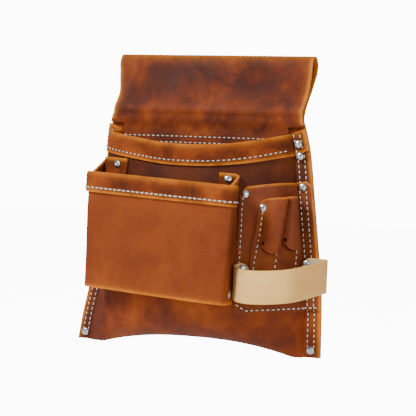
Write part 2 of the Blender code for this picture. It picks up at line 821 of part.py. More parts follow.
def sew_tool_pocket():
    x = tool_left + tool_row
    heights = [mix(tool_bottom_left + 9 * MM, tool_top_left - 16 * MM, k / 12) for k in range(13)]
    thread_row("thread_tool_left", thinned([on_tool(x, z, above) for z in heights]))
    right_end = half_width(1, tool_bottom_right) - right_flange + 3 * MM
    places = []
    for k in range(13):
        x = mix(tool_left + 8 * MM, right_end - 7 * MM, k / 12)
        across = (x - tool_left) / (half_width(1, tool_bottom_right) - tool_left)
        places.append(on_tool(x, mix(tool_bottom_left, tool_bottom_right, across) + tool_row, above))
    thread_row("thread_tool_bottom", thinned(places))
    low = sleeve_bottom + 4 * MM
    for name, high in (("left", sleeve_top_left - 16 * MM), ("middle", sleeve_slit_left - 2 * MM),
                       ("right", sleeve_slit_right - 3 * MM)):
        places = []
        for z in [mix(low, high, k / 8) for k in range(9)]:
            left, right = sleeve_edges(z)
            across = {"left": left + 3.2 * MM, "middle": sleeve_middle + 0.7 * MM, "right": right - 2.5 * MM}
            places.append(on_tool(across[name], z, layer + above))
        thread_row("thread_sleeve_" + name, places)


# ---- rivets --------------------------------------------------------------------------------------
def seam_rivets():
    """(name, x, z, lift of the top layer) of the rivets that go right through the margins."""
    found = []
    for place, z in seam_rivet_heights.items():
        lift = 0 if place == "bottom" else layer
        found.append(("rivet_right_" + place, half_width(1, z) - (row_outer + row_inner) / 2, z, lift))
        x = (left_row_outer + left_row_inner) / 2 - half_width(-1, z)
        found.append(("rivet_left_" + place, x, z, lift))
    z = tool_top_right - rivet_drop
    found.append(("rivet_tool_right", half_width(1, z) - (row_outer + row_inner) / 2, z, layer))
    return found


def build_rivets(sheets):
    holes = {name: [] for name in sheets}
    reach = 24 * MM

    def drill(names, place, normal):
        for name in names:
            holes[name].append((place, normal, reach))

    front = Vector((0, -1, 0))
    bores = []
    for name, x, z, lift in seam_rivets():
        head = flange_y - lift - leather / 2 - under_thread - seat
        place = Vector((x, head, z))
        rivet(name, place, front, -head - rivet_rim - 0.1 * MM)
        through = ["back_panel", "main_pocket_front"]
        if name == "rivet_tool_right":
            through.append("tool_pocket_panel")
        drill(through, place, front)
        bores.append(Vector((x, 0, z)))
    for word, drop in (("upper", 1), ("lower", -1)):
        z = tab_right_height + drop * tab_rivet_spacing / 2
        head = flange_y - layer - tab_right_lift - strap_leather / 2 - 4 * seat
        place = Vector((half_width(1, z) - (row_outer + row_inner) / 2, head, z))
        rivet("rivet_tab_right_" + word, place, front, -head - rivet_rim - 0.1 * MM)
        drill(["back_panel", "main_pocket_front", "tool_pocket_panel", "strap_tab_right"], place, front)
        bores.append(Vector((place.x, 0, z)))
        z = tab_left_height + drop * tab_rivet_spacing / 2
        x = mix(tab_left_x[0], tab_left_x[1], 0.52)
        surface_rivet("rivet_tab_left_" + word, (on_tool, x, z), tab_left_lift, strap_leather,
                      ["main_pocket_front", "tool_pocket_panel", "strap_tab_left"], drill, -layer)
    z = box_bottom_height + box_height + box_rear_rise - rivet_drop
    for name, x in (("rivet_box_left", box_left_fold + 0.55 * box_flange),
                    ("rivet_box_right", box_right_fold - 0.5 * box_flange)):
        surface_rivet(name, (on_front, x, tilted(x, z)), layer, leather,
                      ["main_pocket_front", "box_pocket_shell"], drill)
    x, z = tool_left + tool_flat / 2, tool_top_left - rivet_drop
    surface_rivet("rivet_tool_left", (on_front, x, z), layer, leather,
                  ["main_pocket_front", "tool_pocket_panel"], drill)
    x, z = sleeve_left_top + sleeve_margin / 2, sleeve_top_left - rivet_drop
    surface_rivet("rivet_sleeve", (on_tool, x, z), layer, leather,
                  ["tool_pocket_panel", "pencil_sleeves"], drill)
    z = box_bottom_height + 0.72 * box_tab
    plan = box_plan(z)
    for name, index in (("rivet_box_corner_left", 5), ("rivet_box_corner_right", len(plan) - 6)):
        normal = plan_normal(plan, index)
        place = plan[index] + normal * (leather / 2 + seat)
        rivet(name, place, normal, 2 * leather + 6 * gap)
        drill(["box_pocket_shell", "box_pocket_floor"], place, normal)
    for name, item in sheets.items():
        if holes[name]:
            wide = bores if name == "back_panel" else []
            cut_rivet_holes(item, holes[name], wide)


def surface_rivet(name, place_on, lift, thickness, layers, drill, inner=0.0):
    """A rivet on the bulging front; its rolled end lies behind the layer at the lift `inner`."""
    surface, x, z = place_on
    normal = surface_normal(surface, x, z, lift)
    place = surface(x, z, lift) + normal * (thickness / 2 + seat)
    rivet(name, place, normal, lift - inner + thickness / 2 + leather / 2 + 4 * seat)
    drill(layers, place, normal)


def build_pouch():
    hides = {
        "back_panel": [back_rows()],
        "main_pocket_front": [main_front_rows()],
        "belt_tunnel": [tunnel_rows()],
        "belt_flap_tail": [tail_rows()],
        "box_pocket_shell": [box_rows(), box_hem_rows()],
        "box_pocket_floor": [box_floor_rows()],
        "tool_pocket_panel": [tool_rows()],
        "pencil_sleeves": sleeve_rows(),
    }
    straps = {
        "strap_tab_left": [tab_rows(tab_left_x, tab_left_height, on_tool, tab_left_lift)],
        "strap_tab_right": [tab_rows(tab_right_x(), tab_right_height, on_right_margin, tab_right_lift)],
        "hammer_strap": [strap_rows()],
    }
    sheets = {name: leather_sheet(name, rows, leather, hide) for name, rows in hides.items()}
    for name, rows in straps.items():
        sheets[name] = leather_sheet(name, rows, strap_leather, pale_hide)
    sew_body()
    sew_tool_pocket()
    build_rivets(sheets)


clear_scene()
parts = new_collection("tool_pouch")
cutters = new_collection("cutters")
hide = make_material("oiled_hide", (0.38, 0.10, 0.03), 0.6)
pale_hide = make_material("pale_strap_leather", (0.72, 0.48, 0.28), 0.5)
rivet_look = make_material("nickel_rivet", (0.78, 0.78, 0.78), 0.25, 1.0)
thread_look = make_material("cream_thread", (0.85, 0.78, 0.65), 0.8)

hanger = bpy.data.objects.new("hanger", None)
parts.objects.link(hanger)
hanger.location = (0, -tunnel_lean, -(bag_height + waist_height) / 2)
build_pouch()
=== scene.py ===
# Leather tool pouch: hides, stitches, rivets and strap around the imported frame.
# Shapes are laid out in millimetres from the bottom corners of the bag, then set into the frame.
import json
import math

import bmesh
import bpy
from mathutils import Matrix, Vector, noise


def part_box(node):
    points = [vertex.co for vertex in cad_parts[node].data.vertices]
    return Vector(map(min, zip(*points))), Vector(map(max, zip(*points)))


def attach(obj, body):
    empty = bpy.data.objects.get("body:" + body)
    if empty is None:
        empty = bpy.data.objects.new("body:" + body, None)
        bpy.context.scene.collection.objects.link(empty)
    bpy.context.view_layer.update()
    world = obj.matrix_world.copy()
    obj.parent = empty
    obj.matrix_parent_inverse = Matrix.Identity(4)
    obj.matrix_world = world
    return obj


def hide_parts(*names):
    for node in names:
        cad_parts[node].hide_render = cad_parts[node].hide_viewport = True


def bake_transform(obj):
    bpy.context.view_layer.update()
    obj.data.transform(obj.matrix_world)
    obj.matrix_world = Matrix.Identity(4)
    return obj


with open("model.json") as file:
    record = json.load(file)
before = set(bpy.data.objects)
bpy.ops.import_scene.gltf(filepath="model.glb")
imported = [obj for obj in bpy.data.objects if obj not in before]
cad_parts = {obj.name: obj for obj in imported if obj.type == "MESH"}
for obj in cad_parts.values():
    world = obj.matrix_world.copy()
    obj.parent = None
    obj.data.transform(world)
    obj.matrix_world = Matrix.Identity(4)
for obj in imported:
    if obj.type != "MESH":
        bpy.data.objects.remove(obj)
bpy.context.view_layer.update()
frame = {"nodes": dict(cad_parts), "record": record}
backLow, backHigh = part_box("back_panel")
toFrame = Matrix.Translation((0, backHigh[1], backLow[2])) @ Matrix.Scale(0.001, 4)
print("frame loaded:", len(frame["nodes"]), "nodes")

bag = {
    "height": 316, "halfWidth": 140, "leather": 2.4, "gap": 0.6,
    "depth": 46, "mouth": 236, "mouthDip": 22, "hem": 20, "hemRow": 4.4,
    "bottomArch": 13, "archReach": 0.78, "mouthReach": 0.806, "bottomRoll": 42,
    "rightMargin": 18, "leftMargin": 15.5,
    "lumps": 1.7, "broadLump": (62, 48), "smallLump": (24, 26),    # uneven swelling of the filled front
    "overhang": 15,        # how far the filled front leans out over its left margin
    "leanFrom": 48, "leanOver": 42, "leanDepth": 0.42, "leanRise": 75,
}
outlines = {    # each side's edge, as shares of the height and of the half width
    1: ((0, 1), (0.2, 0.985), (0.33, 0.952), (0.53, 0.893), (0.67, 0.85)),
    -1: ((0, 1), (0.1, 0.965), (0.2, 0.92), (0.38, 0.865), (0.58, 0.83)),
}
shoulders = ((0.75, 0.806), (248 / 316, 0.782), (0.88, 0.8036), (1, 0.8036))
layer = bag["leather"] + bag["gap"]
marginY = -(layer + bag["leather"] / 2)
halfHide = bag["leather"] / 2


# small maths
def smoothThrough(points, value):
    if value <= points[0][0]:
        return points[0][1]
    if value >= points[-1][0]:
        return points[-1][1]
    last = len(points) - 1
    for index in range(last):
        (x0, y0), (x1, y1) = points[index], points[index + 1]
        if value <= x1:
            break
    before = points[max(index - 1, 0)]
    after = points[min(index + 2, last)]
    slope0 = (y1 - before[1]) / (x1 - before[0])
    slope1 = (after[1] - y0) / (after[0] - x0)
    span = x1 - x0
    t = (value - x0) / span
    return ((1 + 2 * t) * (1 - t) ** 2 * y0 + t * (1 - t) ** 2 * span * slope0
            + t * t * (3 - 2 * t) * y1 + t * t * (t - 1) * span * slope1)


def smoothPath(points, steps):
    path = []
    last = len(points) - 1
    for index in range(last):
        p1, p2 = points[index], points[index + 1]
        p0, p3 = points[max(index - 1, 0)], points[min(index + 2, last)]
        for step in range(steps):
            t = step / steps
            path.append(0.5 * (2 * p1 + (p2 - p0) * t + (2 * p0 - 5 * p1 + 4 * p2 - p3) * t * t
                               + (3 * p1 - p0 - 3 * p2 + p3) * t ** 3))
    path.append(points[last].copy())
    return path


def mix(low, high, t):
    return low + (high - low) * t


def ease(t):
    t = min(max(t, 0.0), 1.0)
    return t * t * (3 - 2 * t)


def spread(path, count):    # the same path as evenly spaced points
    lengths = [0.0]
    for here, after in zip(path, path[1:]):
        lengths.append(lengths[-1] + (after - here).length)
    found, index = [], 0
    for k in range(count):
        want = lengths[-1] * k / (count - 1)
        while index < len(path) - 2 and lengths[index + 1] < want:
            index += 1
        span = max(lengths[index + 1] - lengths[index], 1e-9)
        found.append(path[index].lerp(path[index + 1], (want - lengths[index]) / span))
    return found


# outline of the bag and its bulging front
def halfWidth(side, z):
    outline = [(rise, share * bag["halfWidth"]) for rise, share in outlines[side] + shoulders]
    return smoothThrough(outline, z / bag["height"])


def margin(side):
    return bag["rightMargin"] if side > 0 else bag["leftMargin"]


def bulgeShare(x, z):
    side = 1 if x >= 0 else -1
    f = min(abs(x) / (halfWidth(side, z) - margin(side)), 1.0)
    return (1 - f ** 2.4) ** (0.8 if side > 0 else 0.62) if f < 1 else 0.0


def bottomEdge(x):
    return bag["bottomArch"] * (1 - min(abs(x) / (bag["archReach"] * bag["halfWidth"]), 1.0) ** 2.4)


def mouthEdge(x):
    reach = bag["mouthReach"] * bag["halfWidth"]
    return bag["mouth"] - bag["mouthDip"] * (1 - min(abs(x) / reach, 1.0) ** 2.2)


def rollAngle(x, z):
    rise = (z - bottomEdge(x)) / bag["bottomRoll"]
    return math.acos(1 - min(max(rise, 0.0), 1.0))


def lump(x, z):
    (broadX, broadZ), (smallX, smallZ) = bag["broadLump"], bag["smallLump"]
    broad = noise.noise(Vector((x / broadX, 3.1, z / broadZ)))
    small = noise.noise(Vector((x / smallX, 9.4, z / smallZ)))
    return bag["lumps"] * (broad + 0.35 * small)


def frontY(x, z):
    depth = bag["depth"] * smoothThrough([(0, 1.0), (0.45, 1.04), (0.75, 1.0), (1.0, 0.86)], z / bag["mouth"])
    share = bulgeShare(x, z) * math.sin(rollAngle(x, z))
    return marginY - (depth + lump(x, z)) * share


def frontNormal(x, z):
    slopeX = (frontY(x + 1, z) - frontY(x - 1, z)) / 2
    slopeZ = (frontY(x, z + 1) - frontY(x, z - 1)) / 2
    return Vector((slopeX, -1, slopeZ)).normalized()


def leanOut(place):    # the filled pocket swells past its left seam
    deep = (marginY - place.y) / bag["depth"]
    reach = ease((-place.x - bag["leanFrom"]) / bag["leanOver"]) * ease(deep / bag["leanDepth"])
    reach *= ease((place.z - bag["leanRise"]) / bag["leanRise"])
    return Vector((place.x - bag["overhang"] * reach, place.y, place.z))


def onFront(x, z, lift):
    place = Vector((x, frontY(x, z), z)) + frontNormal(x, z) * lift
    place.y = min(place.y, frontY(place.x, place.z) - lift)
    return leanOut(place)


def surfaceNormal(surface, x, z, lift):
    across = surface(x + 1.5, z, lift) - surface(x - 1.5, z, lift)
    up = surface(x, z + 1.5, lift) - surface(x, z - 1.5, lift)
    return across.cross(up).normalized()


# paints
def paint(red, green, blue):
    return tuple(((c / 255 + 0.055) / 1.055) ** 2.4 for c in (red, green, blue)) + (1.0,)


def grey(level):
    return (level, level, level, 1)


def feed(tree, node, inputs):    # links from other nodes, or plain values
    for key, value in inputs.items():
        if isinstance(value, bpy.types.NodeSocket):
            tree.links.new(value, node.inputs[key])
        else:
            node.inputs[key].default_value = value


def newNode(tree, kind, place=(0, 0), inputs=None, **settings):
    node = tree.nodes.new(kind)
    node.location = place
    for key, value in settings.items():
        setattr(node, key, value)
    feed(tree, node, inputs or {})
    return node


def noiseNode(tree, coords, scale, detail, rough=0.55, distortion=0.0, stretch=None):
    source = coords.outputs["Object"]
    if stretch:
        source = newNode(tree, "ShaderNodeMapping", inputs={"Vector": source, "Scale": stretch}).outputs["Vector"]
    pattern = {"Vector": source, "Scale": scale, "Detail": detail, "Roughness": rough, "Distortion": distortion}
    return newNode(tree, "ShaderNodeTexNoise", inputs=pattern).outputs["Fac"]


def mathNode(tree, operation, *values):
    return newNode(tree, "ShaderNodeMath", inputs=dict(enumerate(values)), operation=operation).outputs[0]


def rampNode(tree, source, stops):
    node = newNode(tree, "ShaderNodeValToRGB", inputs={"Fac": source})
    ramp = node.color_ramp
    ramp.elements[0].position, ramp.elements[0].color = stops[0]
    ramp.elements[1].position, ramp.elements[1].color = stops[-1]
    for position, colour in stops[1:-1]:
        ramp.elements.new(position).color = colour
    return node.outputs["Color"]


def mixColour(tree, factor, first, second, blend="MIX"):
    sockets = {0: factor, 6: first, 7: second}
    return newNode(tree, "ShaderNodeMix", inputs=sockets, data_type="RGBA", blend_type=blend).outputs[2]


def bumpNode(tree, height, strength, distance, normal=None):
    sockets = {"Height": height, "Strength": strength, "Distance": distance}
    if normal:
        sockets["Normal"] = normal
    return newNode(tree, "ShaderNodeBump", inputs=sockets).outputs["Normal"]


def newFinish(name):
    material = bpy.data.materials.new(name)
    material.use_nodes = True
    tree = material.node_tree
    shader = tree.nodes["Principled BSDF"]
    return material, tree, shader, newNode(tree, "ShaderNodeTexCoord", (-1400, 0))


def wearAndHighlightColour(tree, looks, colour, patches=None):    # lighter near cut edges (wear) and along folds (partly wear, partly painted highlight)
    worn = newNode(tree, "ShaderNodeAttribute", attribute_name="wear").outputs["Fac"]
    rubbedAndLit = mathNode(tree, "MULTIPLY", worn, patches) if patches else worn
    return mixColour(tree, mathNode(tree, "MULTIPLY", rubbedAndLit, looks["wearAndHighlightMix"]), colour, looks["worn"])


def bandedColour(tree, coords, colour, band):    # darker colour between two heights: painted shade below the main pocket's hem and on the box pocket's flanges and wall tops; on the belt flap a darker band across its upper part
    high, low, shade = band
    middle, reach = (high + low) / 2, abs(high - low) / 2
    split = newNode(tree, "ShaderNodeSeparateXYZ", inputs={0: coords.outputs["Object"]})
    away = mathNode(tree, "ABSOLUTE", mathNode(tree, "SUBTRACT", split.outputs["Z"], middle))
    inside = newNode(tree, "ShaderNodeMapRange", inputs={"Value": away, "From Min": reach, "From Max": 0.35 * reach})
    return mixColour(tree, mathNode(tree, "MULTIPLY", inside.outputs[0], 0.9), colour,
                     mixColour(tree, 1.0, colour, shade, "MULTIPLY"))


def hideFinish(name, looks):
    material, tree, shader, coords = newFinish(name)
    cloud = noiseNode(tree, coords, looks["cloudScale"], 5, 0.55, 0.7)
    patch = noiseNode(tree, coords, looks["patchScale"], 4, 0.6, 0.4)
    nap = noiseNode(tree, coords, looks["napScale"], 3, 0.7)
    creases = noiseNode(tree, coords, 130, 5, 0.62, 0.5)
    patches = rampNode(tree, noiseNode(tree, coords, 75, 4, 0.6), [(0.30, grey(0.45)), (0.62, grey(1))])
    mottle = mathNode(tree, "ADD", mathNode(tree, "MULTIPLY", cloud, 0.62), mathNode(tree, "MULTIPLY", patch, 0.38))
    colour = rampNode(tree, mottle, [(0.34, looks["dark"]), (0.46, looks["middle"]), (0.55, looks["warm"]),
                                     (0.66, looks["light"])])
    grain = rampNode(tree, nap, [(0.30, (0.72, 0.70, 0.68, 1)), (0.72, (1.18, 1.16, 1.12, 1))])
    colour = mixColour(tree, 0.55, colour, grain, "MULTIPLY")
    if looks["band"]:
        colour = bandedColour(tree, coords, colour, looks["band"])
    normal = bumpNode(tree, creases, looks["creases"], 0.0012)
    feed(tree, shader, {
        "Base Color": wearAndHighlightColour(tree, looks, colour, patches),
        "Roughness": rampNode(tree, patch, [(0.3, grey(looks["rough"][0])), (0.7, grey(looks["rough"][1]))]),
        "Specular IOR Level": looks["shine"], "Sheen Weight": looks["sheen"], "Sheen Roughness": 0.55,
        "Sheen Tint": looks["sheenTint"], "Normal": bumpNode(tree, nap, looks["nap"], 0.0004, normal),
    })
    return material


def tones(*paints):    # from the darkest to the lightest
    return dict(zip(("dark", "middle", "warm", "light"), (paint(*shade) for shade in paints)))


# the lighter colour mixed in near cut edges is wear; along folds it is partly wear, partly painted highlight
oiledHide = {
    **tones((84, 31, 12), (124, 50, 16), (154, 70, 20), (184, 96, 27)),
    "worn": paint(240, 140, 30), "wearAndHighlightMix": 0.85, "band": None, "cloudScale": 8, "patchScale": 30, "napScale": 650,
    "rough": (0.56, 0.72), "shine": 0.2, "sheen": 0.03, "sheenTint": (1.0, 0.55, 0.3, 1),
    "creases": 0.26, "nap": 0.5,
}
boxHide = {**oiledHide, **tones((114, 46, 13), (132, 58, 16), (142, 66, 18), (162, 82, 24)), "cloudScale": 6}
toolHide = {**oiledHide, **tones((94, 40, 18), (122, 55, 23), (140, 67, 27), (160, 84, 35))}
flapHide = {
    **oiledHide, **tones((50, 19, 9), (88, 34, 13), (128, 55, 17), (172, 88, 26)),
    "cloudScale": 11, "band": (0.030, -0.026, (0.62, 0.52, 0.50, 1)),
}
# the band paints shade on the main pocket below its hem
pocketHide = {**oiledHide, "band": (-0.055, -0.125, (0.30, 0.30, 0.36, 1))}
fleshSide = {
    **oiledHide, **tones((66, 27, 13), (106, 44, 18), (136, 61, 23), (158, 79, 30)),
    "cloudScale": 22, "shine": 0.15, "sheen": 0.05, "nap": 0.7, "rough": (0.8, 0.92),
}
# the band paints shade on the box pocket's flanges and wall tops
boxFlesh = {**fleshSide, "band": (-0.060, -0.096, (0.34, 0.32, 0.38, 1))}
rawEdge = {
    **oiledHide, **tones((96, 40, 16), (122, 54, 20), (144, 68, 26), (166, 84, 34)),
    "worn": paint(232, 146, 62), "patchScale": 160, "cloudScale": 60, "sheen": 0.2, "nap": 0.8,
    "rough": (0.7, 0.85), "wearAndHighlightMix": 0.95,
}
flapMaterial = hideFinish("flapHide", flapHide)
pocketMaterial = hideFinish("mainPocketHide", pocketHide)
boxMaterial = hideFinish("boxPocketHide", boxHide)
toolMaterial = hideFinish("toolPocketHide", toolHide)
fleshMaterial = hideFinish("fleshSide", fleshSide)
boxFleshMaterial = hideFinish("boxFleshSide", boxFlesh)
edgeMaterial = hideFinish("rawEdge", rawEdge)


def strapFinish(name, looks):
    material, tree, shader, coords = newFinish(name)
    blush = noiseNode(tree, coords, 22, 3, 0.5, 0.3)
    streak = noiseNode(tree, coords, 60, 4, 0.6, 0.0, (0.35, 0.35, 3.2))
    pores = noiseNode(tree, coords, 900, 3, 0.6)
    blend = mathNode(tree, "ADD", mathNode(tree, "MULTIPLY", blush, 0.6), mathNode(tree, "MULTIPLY", streak, 0.4))
    colour = rampNode(tree, blend, [(0.36, looks["dark"]), (0.5, looks["middle"]), (0.64, looks["light"])])
    normal = bumpNode(tree, streak, 0.12, 0.0008)
    feed(tree, shader, {
        "Base Color": wearAndHighlightColour(tree, looks, colour), "Roughness": looks["rough"],
        "Specular IOR Level": looks["shine"], "Sheen Weight": 0.05,
        "Normal": bumpNode(tree, pores, looks["nap"], 0.0003, normal),
    })
    return material


# the lighter colour mixed in near the strap's cut edges is wear and painted highlight
paleStrap = {
    "dark": paint(246, 178, 96), "middle": paint(255, 198, 112), "light": paint(255, 214, 136),
    "worn": paint(255, 196, 96), "wearAndHighlightMix": 0.7, "rough": 0.48, "shine": 0.4, "nap": 0.2,
}
paleFlesh = {
    **paleStrap, "dark": paint(176, 152, 128), "middle": paint(194, 170, 146), "light": paint(208, 186, 160),
    "rough": 0.85, "shine": 0.15, "nap": 0.6,
}
paleEdge = {
    **paleStrap, "dark": paint(206, 160, 96), "middle": paint(222, 182, 120), "light": paint(232, 200, 142),
    "rough": 0.6, "nap": 0.5,
}
strapMaterial = strapFinish("paleStrap", paleStrap)
strapFlesh = strapFinish("paleStrapFlesh", paleFlesh)
strapEdge = strapFinish("paleStrapEdge", paleEdge)


def nickelFinish():
    material, tree, shader, coords = newFinish("nickelCap")
    haze = noiseNode(tree, coords, 420, 3, 0.6)
    feed(tree, shader, {
        "Base Color": rampNode(tree, haze, [(0.3, paint(176, 180, 182)), (0.7, paint(222, 224, 222))]),
        "Metallic": 1.0, "Roughness": rampNode(tree, haze, [(0.3, grey(0.2)), (0.7, grey(0.36))]),
        "Normal": bumpNode(tree, haze, 0.08, 0.0002),
    })
    return material


def threadFinish():
    material, tree, shader, coords = newFinish("creamThread")
    fibre = noiseNode(tree, coords, 1800, 2, 0.5)
    feed(tree, shader, {
        "Base Color": rampNode(tree, fibre, [(0.3, paint(214, 200, 172)), (0.7, paint(246, 238, 220))]),
        "Roughness": 0.62, "Sheen Weight": 0.3, "Normal": bumpNode(tree, fibre, 0.5, 0.0003),
    })
    return material


# dark discs at the needle holes: painted shade in the holes
def shadowFinish():
    material, tree, shader, coords = newFinish("needleHoleShadow")
    dark = rampNode(tree, noiseNode(tree, coords, 600, 2), [(0.3, paint(30, 14, 10)), (0.7, paint(52, 24, 16))])
    feed(tree, shader, {"Base Color": dark, "Roughness": 0.9})
    return material


nickelMaterial, threadMaterial, holeShadowMaterial = nickelFinish(), threadFinish(), shadowFinish()
print("finishes made")


def meshFrom(name, shape):
    mesh = bpy.data.meshes.new(name)
    shape.to_mesh(mesh)
    shape.free()
    return mesh


def intoScene(name, data):
    item = bpy.data.objects.new(name, data)
    bpy.context.scene.collection.objects.link(item)
    return item


# sheets of leather
sheets = {
    "weld": 0.02, "foldWearAndHighlight": 0.7, "farFromEdges": 99,    # the lighter wear and painted highlight reach further from folds than from cut edges
    "sharpAngle": 52, "edgeSegments": 2,
}


def edgeWearAndHighlight(grid, reach, foldRows, openEdges):
    rows, columns = len(grid), len(grid[0])
    down = [[0.0] * columns for _ in range(rows)]
    for k in range(1, rows):
        for c in range(columns):
            down[k][c] = down[k - 1][c] + (grid[k][c] - grid[k - 1][c]).length
    wear = []
    for k in range(rows):
        across = [0.0]
        for c in range(1, columns):
            across.append(across[-1] + (grid[k][c] - grid[k][c - 1]).length)
        line = []
        for c in range(columns):
            toEdge = {"bottom": down[k][c], "top": down[-1][c] - down[k][c], "left": across[c],
                      "right": across[-1] - across[c]}
            gaps = [abs(down[k][c] - down[f][c]) * sheets["foldWearAndHighlight"] for f in foldRows]
            gaps += [toEdge[edge] for edge in openEdges]
            line.append(math.exp(-min(gaps + [sheets["farFromEdges"]]) / reach))
        wear.append(line)
    return wear


def leatherPiece(name, grids, finishes, thickness=bag["leather"], reach=2.2, folds=((),),
                 edges=("bottom top left right",), softEdge=0.55, cutters=(), quietFrom=None):
    sheet = bmesh.new()
    worn = sheet.verts.layers.float.new("wear")
    for index, grid in enumerate(grids):
        foldRows = folds[min(index, len(folds) - 1)]
        wear = edgeWearAndHighlight(grid, reach, foldRows, edges[min(index, len(edges) - 1)].split())
        verts = []
        for height, (row, line) in enumerate(zip(grid, wear)):
            verts.append([sheet.verts.new(point) for point in row])
            for vert, value in zip(verts[-1], line):
                vert[worn] = value if quietFrom is None or height < quietFrom else 0.0
        for low, high in zip(verts, verts[1:]):
            for c in range(len(low) - 1):
                sheet.faces.new((low[c], low[c + 1], high[c + 1], high[c]))
    bmesh.ops.remove_doubles(sheet, verts=sheet.verts, dist=sheets["weld"])
    mesh = meshFrom(name, sheet)
    piece = intoScene(name, mesh)
    for finish in finishes:
        mesh.materials.append(finish)
    wall = piece.modifiers.new("thickness", "SOLIDIFY")
    wall.thickness = thickness
    wall.offset = 0
    wall.material_offset = 1
    wall.material_offset_rim = 2
    for cutter in cutters:
        cut = piece.modifiers.new("hole", "BOOLEAN")
        cut.object = cutter
        cut.solver = "FAST"
    soft = piece.modifiers.new("soft edge", "BEVEL")
    soft.width = softEdge
    soft.segments = sheets["edgeSegments"]
    soft.limit_method = "ANGLE"
    soft.angle_limit = math.radians(sheets["sharpAngle"])
    return settle(piece, name, cutters)


def settle(piece, name, spare=()):    # modifiers become mesh, and the mesh goes to its place in the frame
    evaluated = piece.evaluated_get(bpy.context.evaluated_depsgraph_get())
    mesh = bpy.data.meshes.new_from_object(evaluated)
    mesh.transform(toFrame)
    mesh.shade_smooth()
    old = piece.data
    piece.modifiers.clear()
    piece.data = mesh
    mesh.name = name
    if old.users == 0:
        bpy.data.meshes.remove(old)
    for extra in spare:
        bpy.data.objects.remove(extra)
    return piece


def hideStack(front):
    return [front, fleshMaterial, edgeMaterial]


# main pocket
pocketSteps = {"halfColumns": 34, "marginColumns": 4, "crowding": 1.35, "roll": 12, "wall": 30, "fold": 8, "hem": 8}


def bagColumns(z):    # closer together towards the seams, with the flat margins outside them
    count, marginCount = pocketSteps["halfColumns"], pocketSteps["marginColumns"]
    places = []
    for side in (-1, 1):
        inner = halfWidth(side, z) - margin(side)
        first = 0 if side > 0 else 1
        half = [side * inner * (1 - (1 - k / count) ** pocketSteps["crowding"]) for k in range(first, count + 1)]
        half += [side * (inner + margin(side) * k / marginCount) for k in range(1, marginCount + 1)]
        places.append(half)
    return places[0][::-1] + places[1]


def mainFrontGrid():
    rollSteps, wallSteps, foldSteps, hemSteps = (pocketSteps[part] for part in ("roll", "wall", "fold", "hem"))
    columns = len(bagColumns(0))
    radius = layer / 2
    rows = []
    flatX = [0.0] * columns
    for k in range(rollSteps + 1):
        angle = math.pi / 2 * k / rollSteps
        row = []
        for index in range(columns):
            z = 0.0
            for _ in range(3):
                x = bagColumns(z)[index]
                z = bottomEdge(x) + bag["bottomRoll"] * (1 - math.cos(angle))
            row.append(Vector((x, frontY(x, z), z)))
            flatX[index] = x
        rows.append(row)
    for k in range(1, wallSteps + 1):
        row = []
        for index in range(columns):
            start = rows[rollSteps][index].z
            x = flatX[index]
            for _ in range(2):
                z = mix(start, mouthEdge(x), k / wallSteps)
                x = bagColumns(z)[index]
            row.append(leanOut(Vector((x, frontY(x, z), z))))
            flatX[index] = x
        rows.append(row)
    mouth = rows[-1]
    outward = []
    for index in range(columns):
        along = mouth[min(index + 1, columns - 1)] - mouth[max(index - 1, 0)]
        outward.append(Vector((along.y, -along.x, 0)).normalized())
    for k in range(1, foldSteps + 1):
        angle = math.pi * k / foldSteps
        rows.append([point + normal * radius * (1 - math.cos(angle)) + Vector((0, 0, radius * math.sin(angle)))
                     for point, normal in zip(mouth, outward)])
    for k in range(1, hemSteps + 1):
        drop = bag["hem"] * k / hemSteps
        row = []
        for index, point in enumerate(mouth):
            z = mouthEdge(flatX[index]) - drop
            x = bagColumns(z)[index]
            row.append(leanOut(Vector((x, frontY(x, z), z))) + outward[index] * 2 * radius)
        rows.append(row)
    return rows, rollSteps + wallSteps + foldSteps // 2


mainGrid, mouthFold = mainFrontGrid()
mainPocket = leatherPiece("mainPocketFront", [mainGrid], hideStack(pocketMaterial), reach=1.7,
                          folds=((mouthFold,),), edges=("top left right",))
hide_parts("main_pocket_front")
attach(mainPocket, "pouch")
print("main pocket sewn:", len(mainPocket.data.polygons), "faces")

# back, belt tunnel and the front layer of its fold: one hide
tunnel = {
    "waist": 248, "slit": 4, "tailSwell": 3.2, "tailClosed": 233,
    "depth": 22, "lean": 18, "ripple": 0.9, "shoulder": 240.2, "clear": 1.4,
    "draw": 7, "drawAt": 274, "drawSpan": 19, "topDraw": 2, "topDrawAt": 280, "topDrawSpan": 20,
    "columns": 48, "backRows": 40, "rows": (226, 219.5), "rowInset": 22,
    "aboveShoulder": (243.5, 241.5), "belowShoulder": (237, 234, 230, 226, 222, 218, 214),
    "cutRows": 7, "cutStep": 0.2, "cutDepth": 1.2,    # where the tail narrows beside the seams
}


def tailY(z):
    opening = (z - tunnel["tailClosed"]) / (tunnel["waist"] - tunnel["tailClosed"])
    return marginY - tunnel["tailSwell"] * ease(opening)


def tunnelPath():    # up the back, over the top and down the front, from waist to waist
    low = tunnel["waist"] + tunnel["slit"] / 2
    top = bag["height"] - halfHide
    depth = tunnel["depth"] - bag["leather"]
    back = tunnel["lean"] + depth / 2
    front = tunnel["lean"] - depth / 2
    points = [(-halfHide, low), (0.12 * back, mix(low, top, 0.25)), (0.5 * back, mix(low, top, 0.5)),
              (0.9 * back, mix(low, top, 0.74)), (back, mix(low, top, 0.88)),
              (mix(back, front, 0.2), mix(low, top, 0.975)), (mix(back, front, 0.5), top),
              (mix(back, front, 0.82), mix(low, top, 0.965)), (front, mix(low, top, 0.85)),
              (front - 1.5, mix(low, top, 0.7)), (front - 5, mix(low, top, 0.52)),
              (front - 10, mix(low, top, 0.32)), (tailY(low) - 0.8, mix(low, top, 0.1)), (tailY(low), low)]
    return smoothPath([Vector((0, y, z)) for y, z in points], 5)


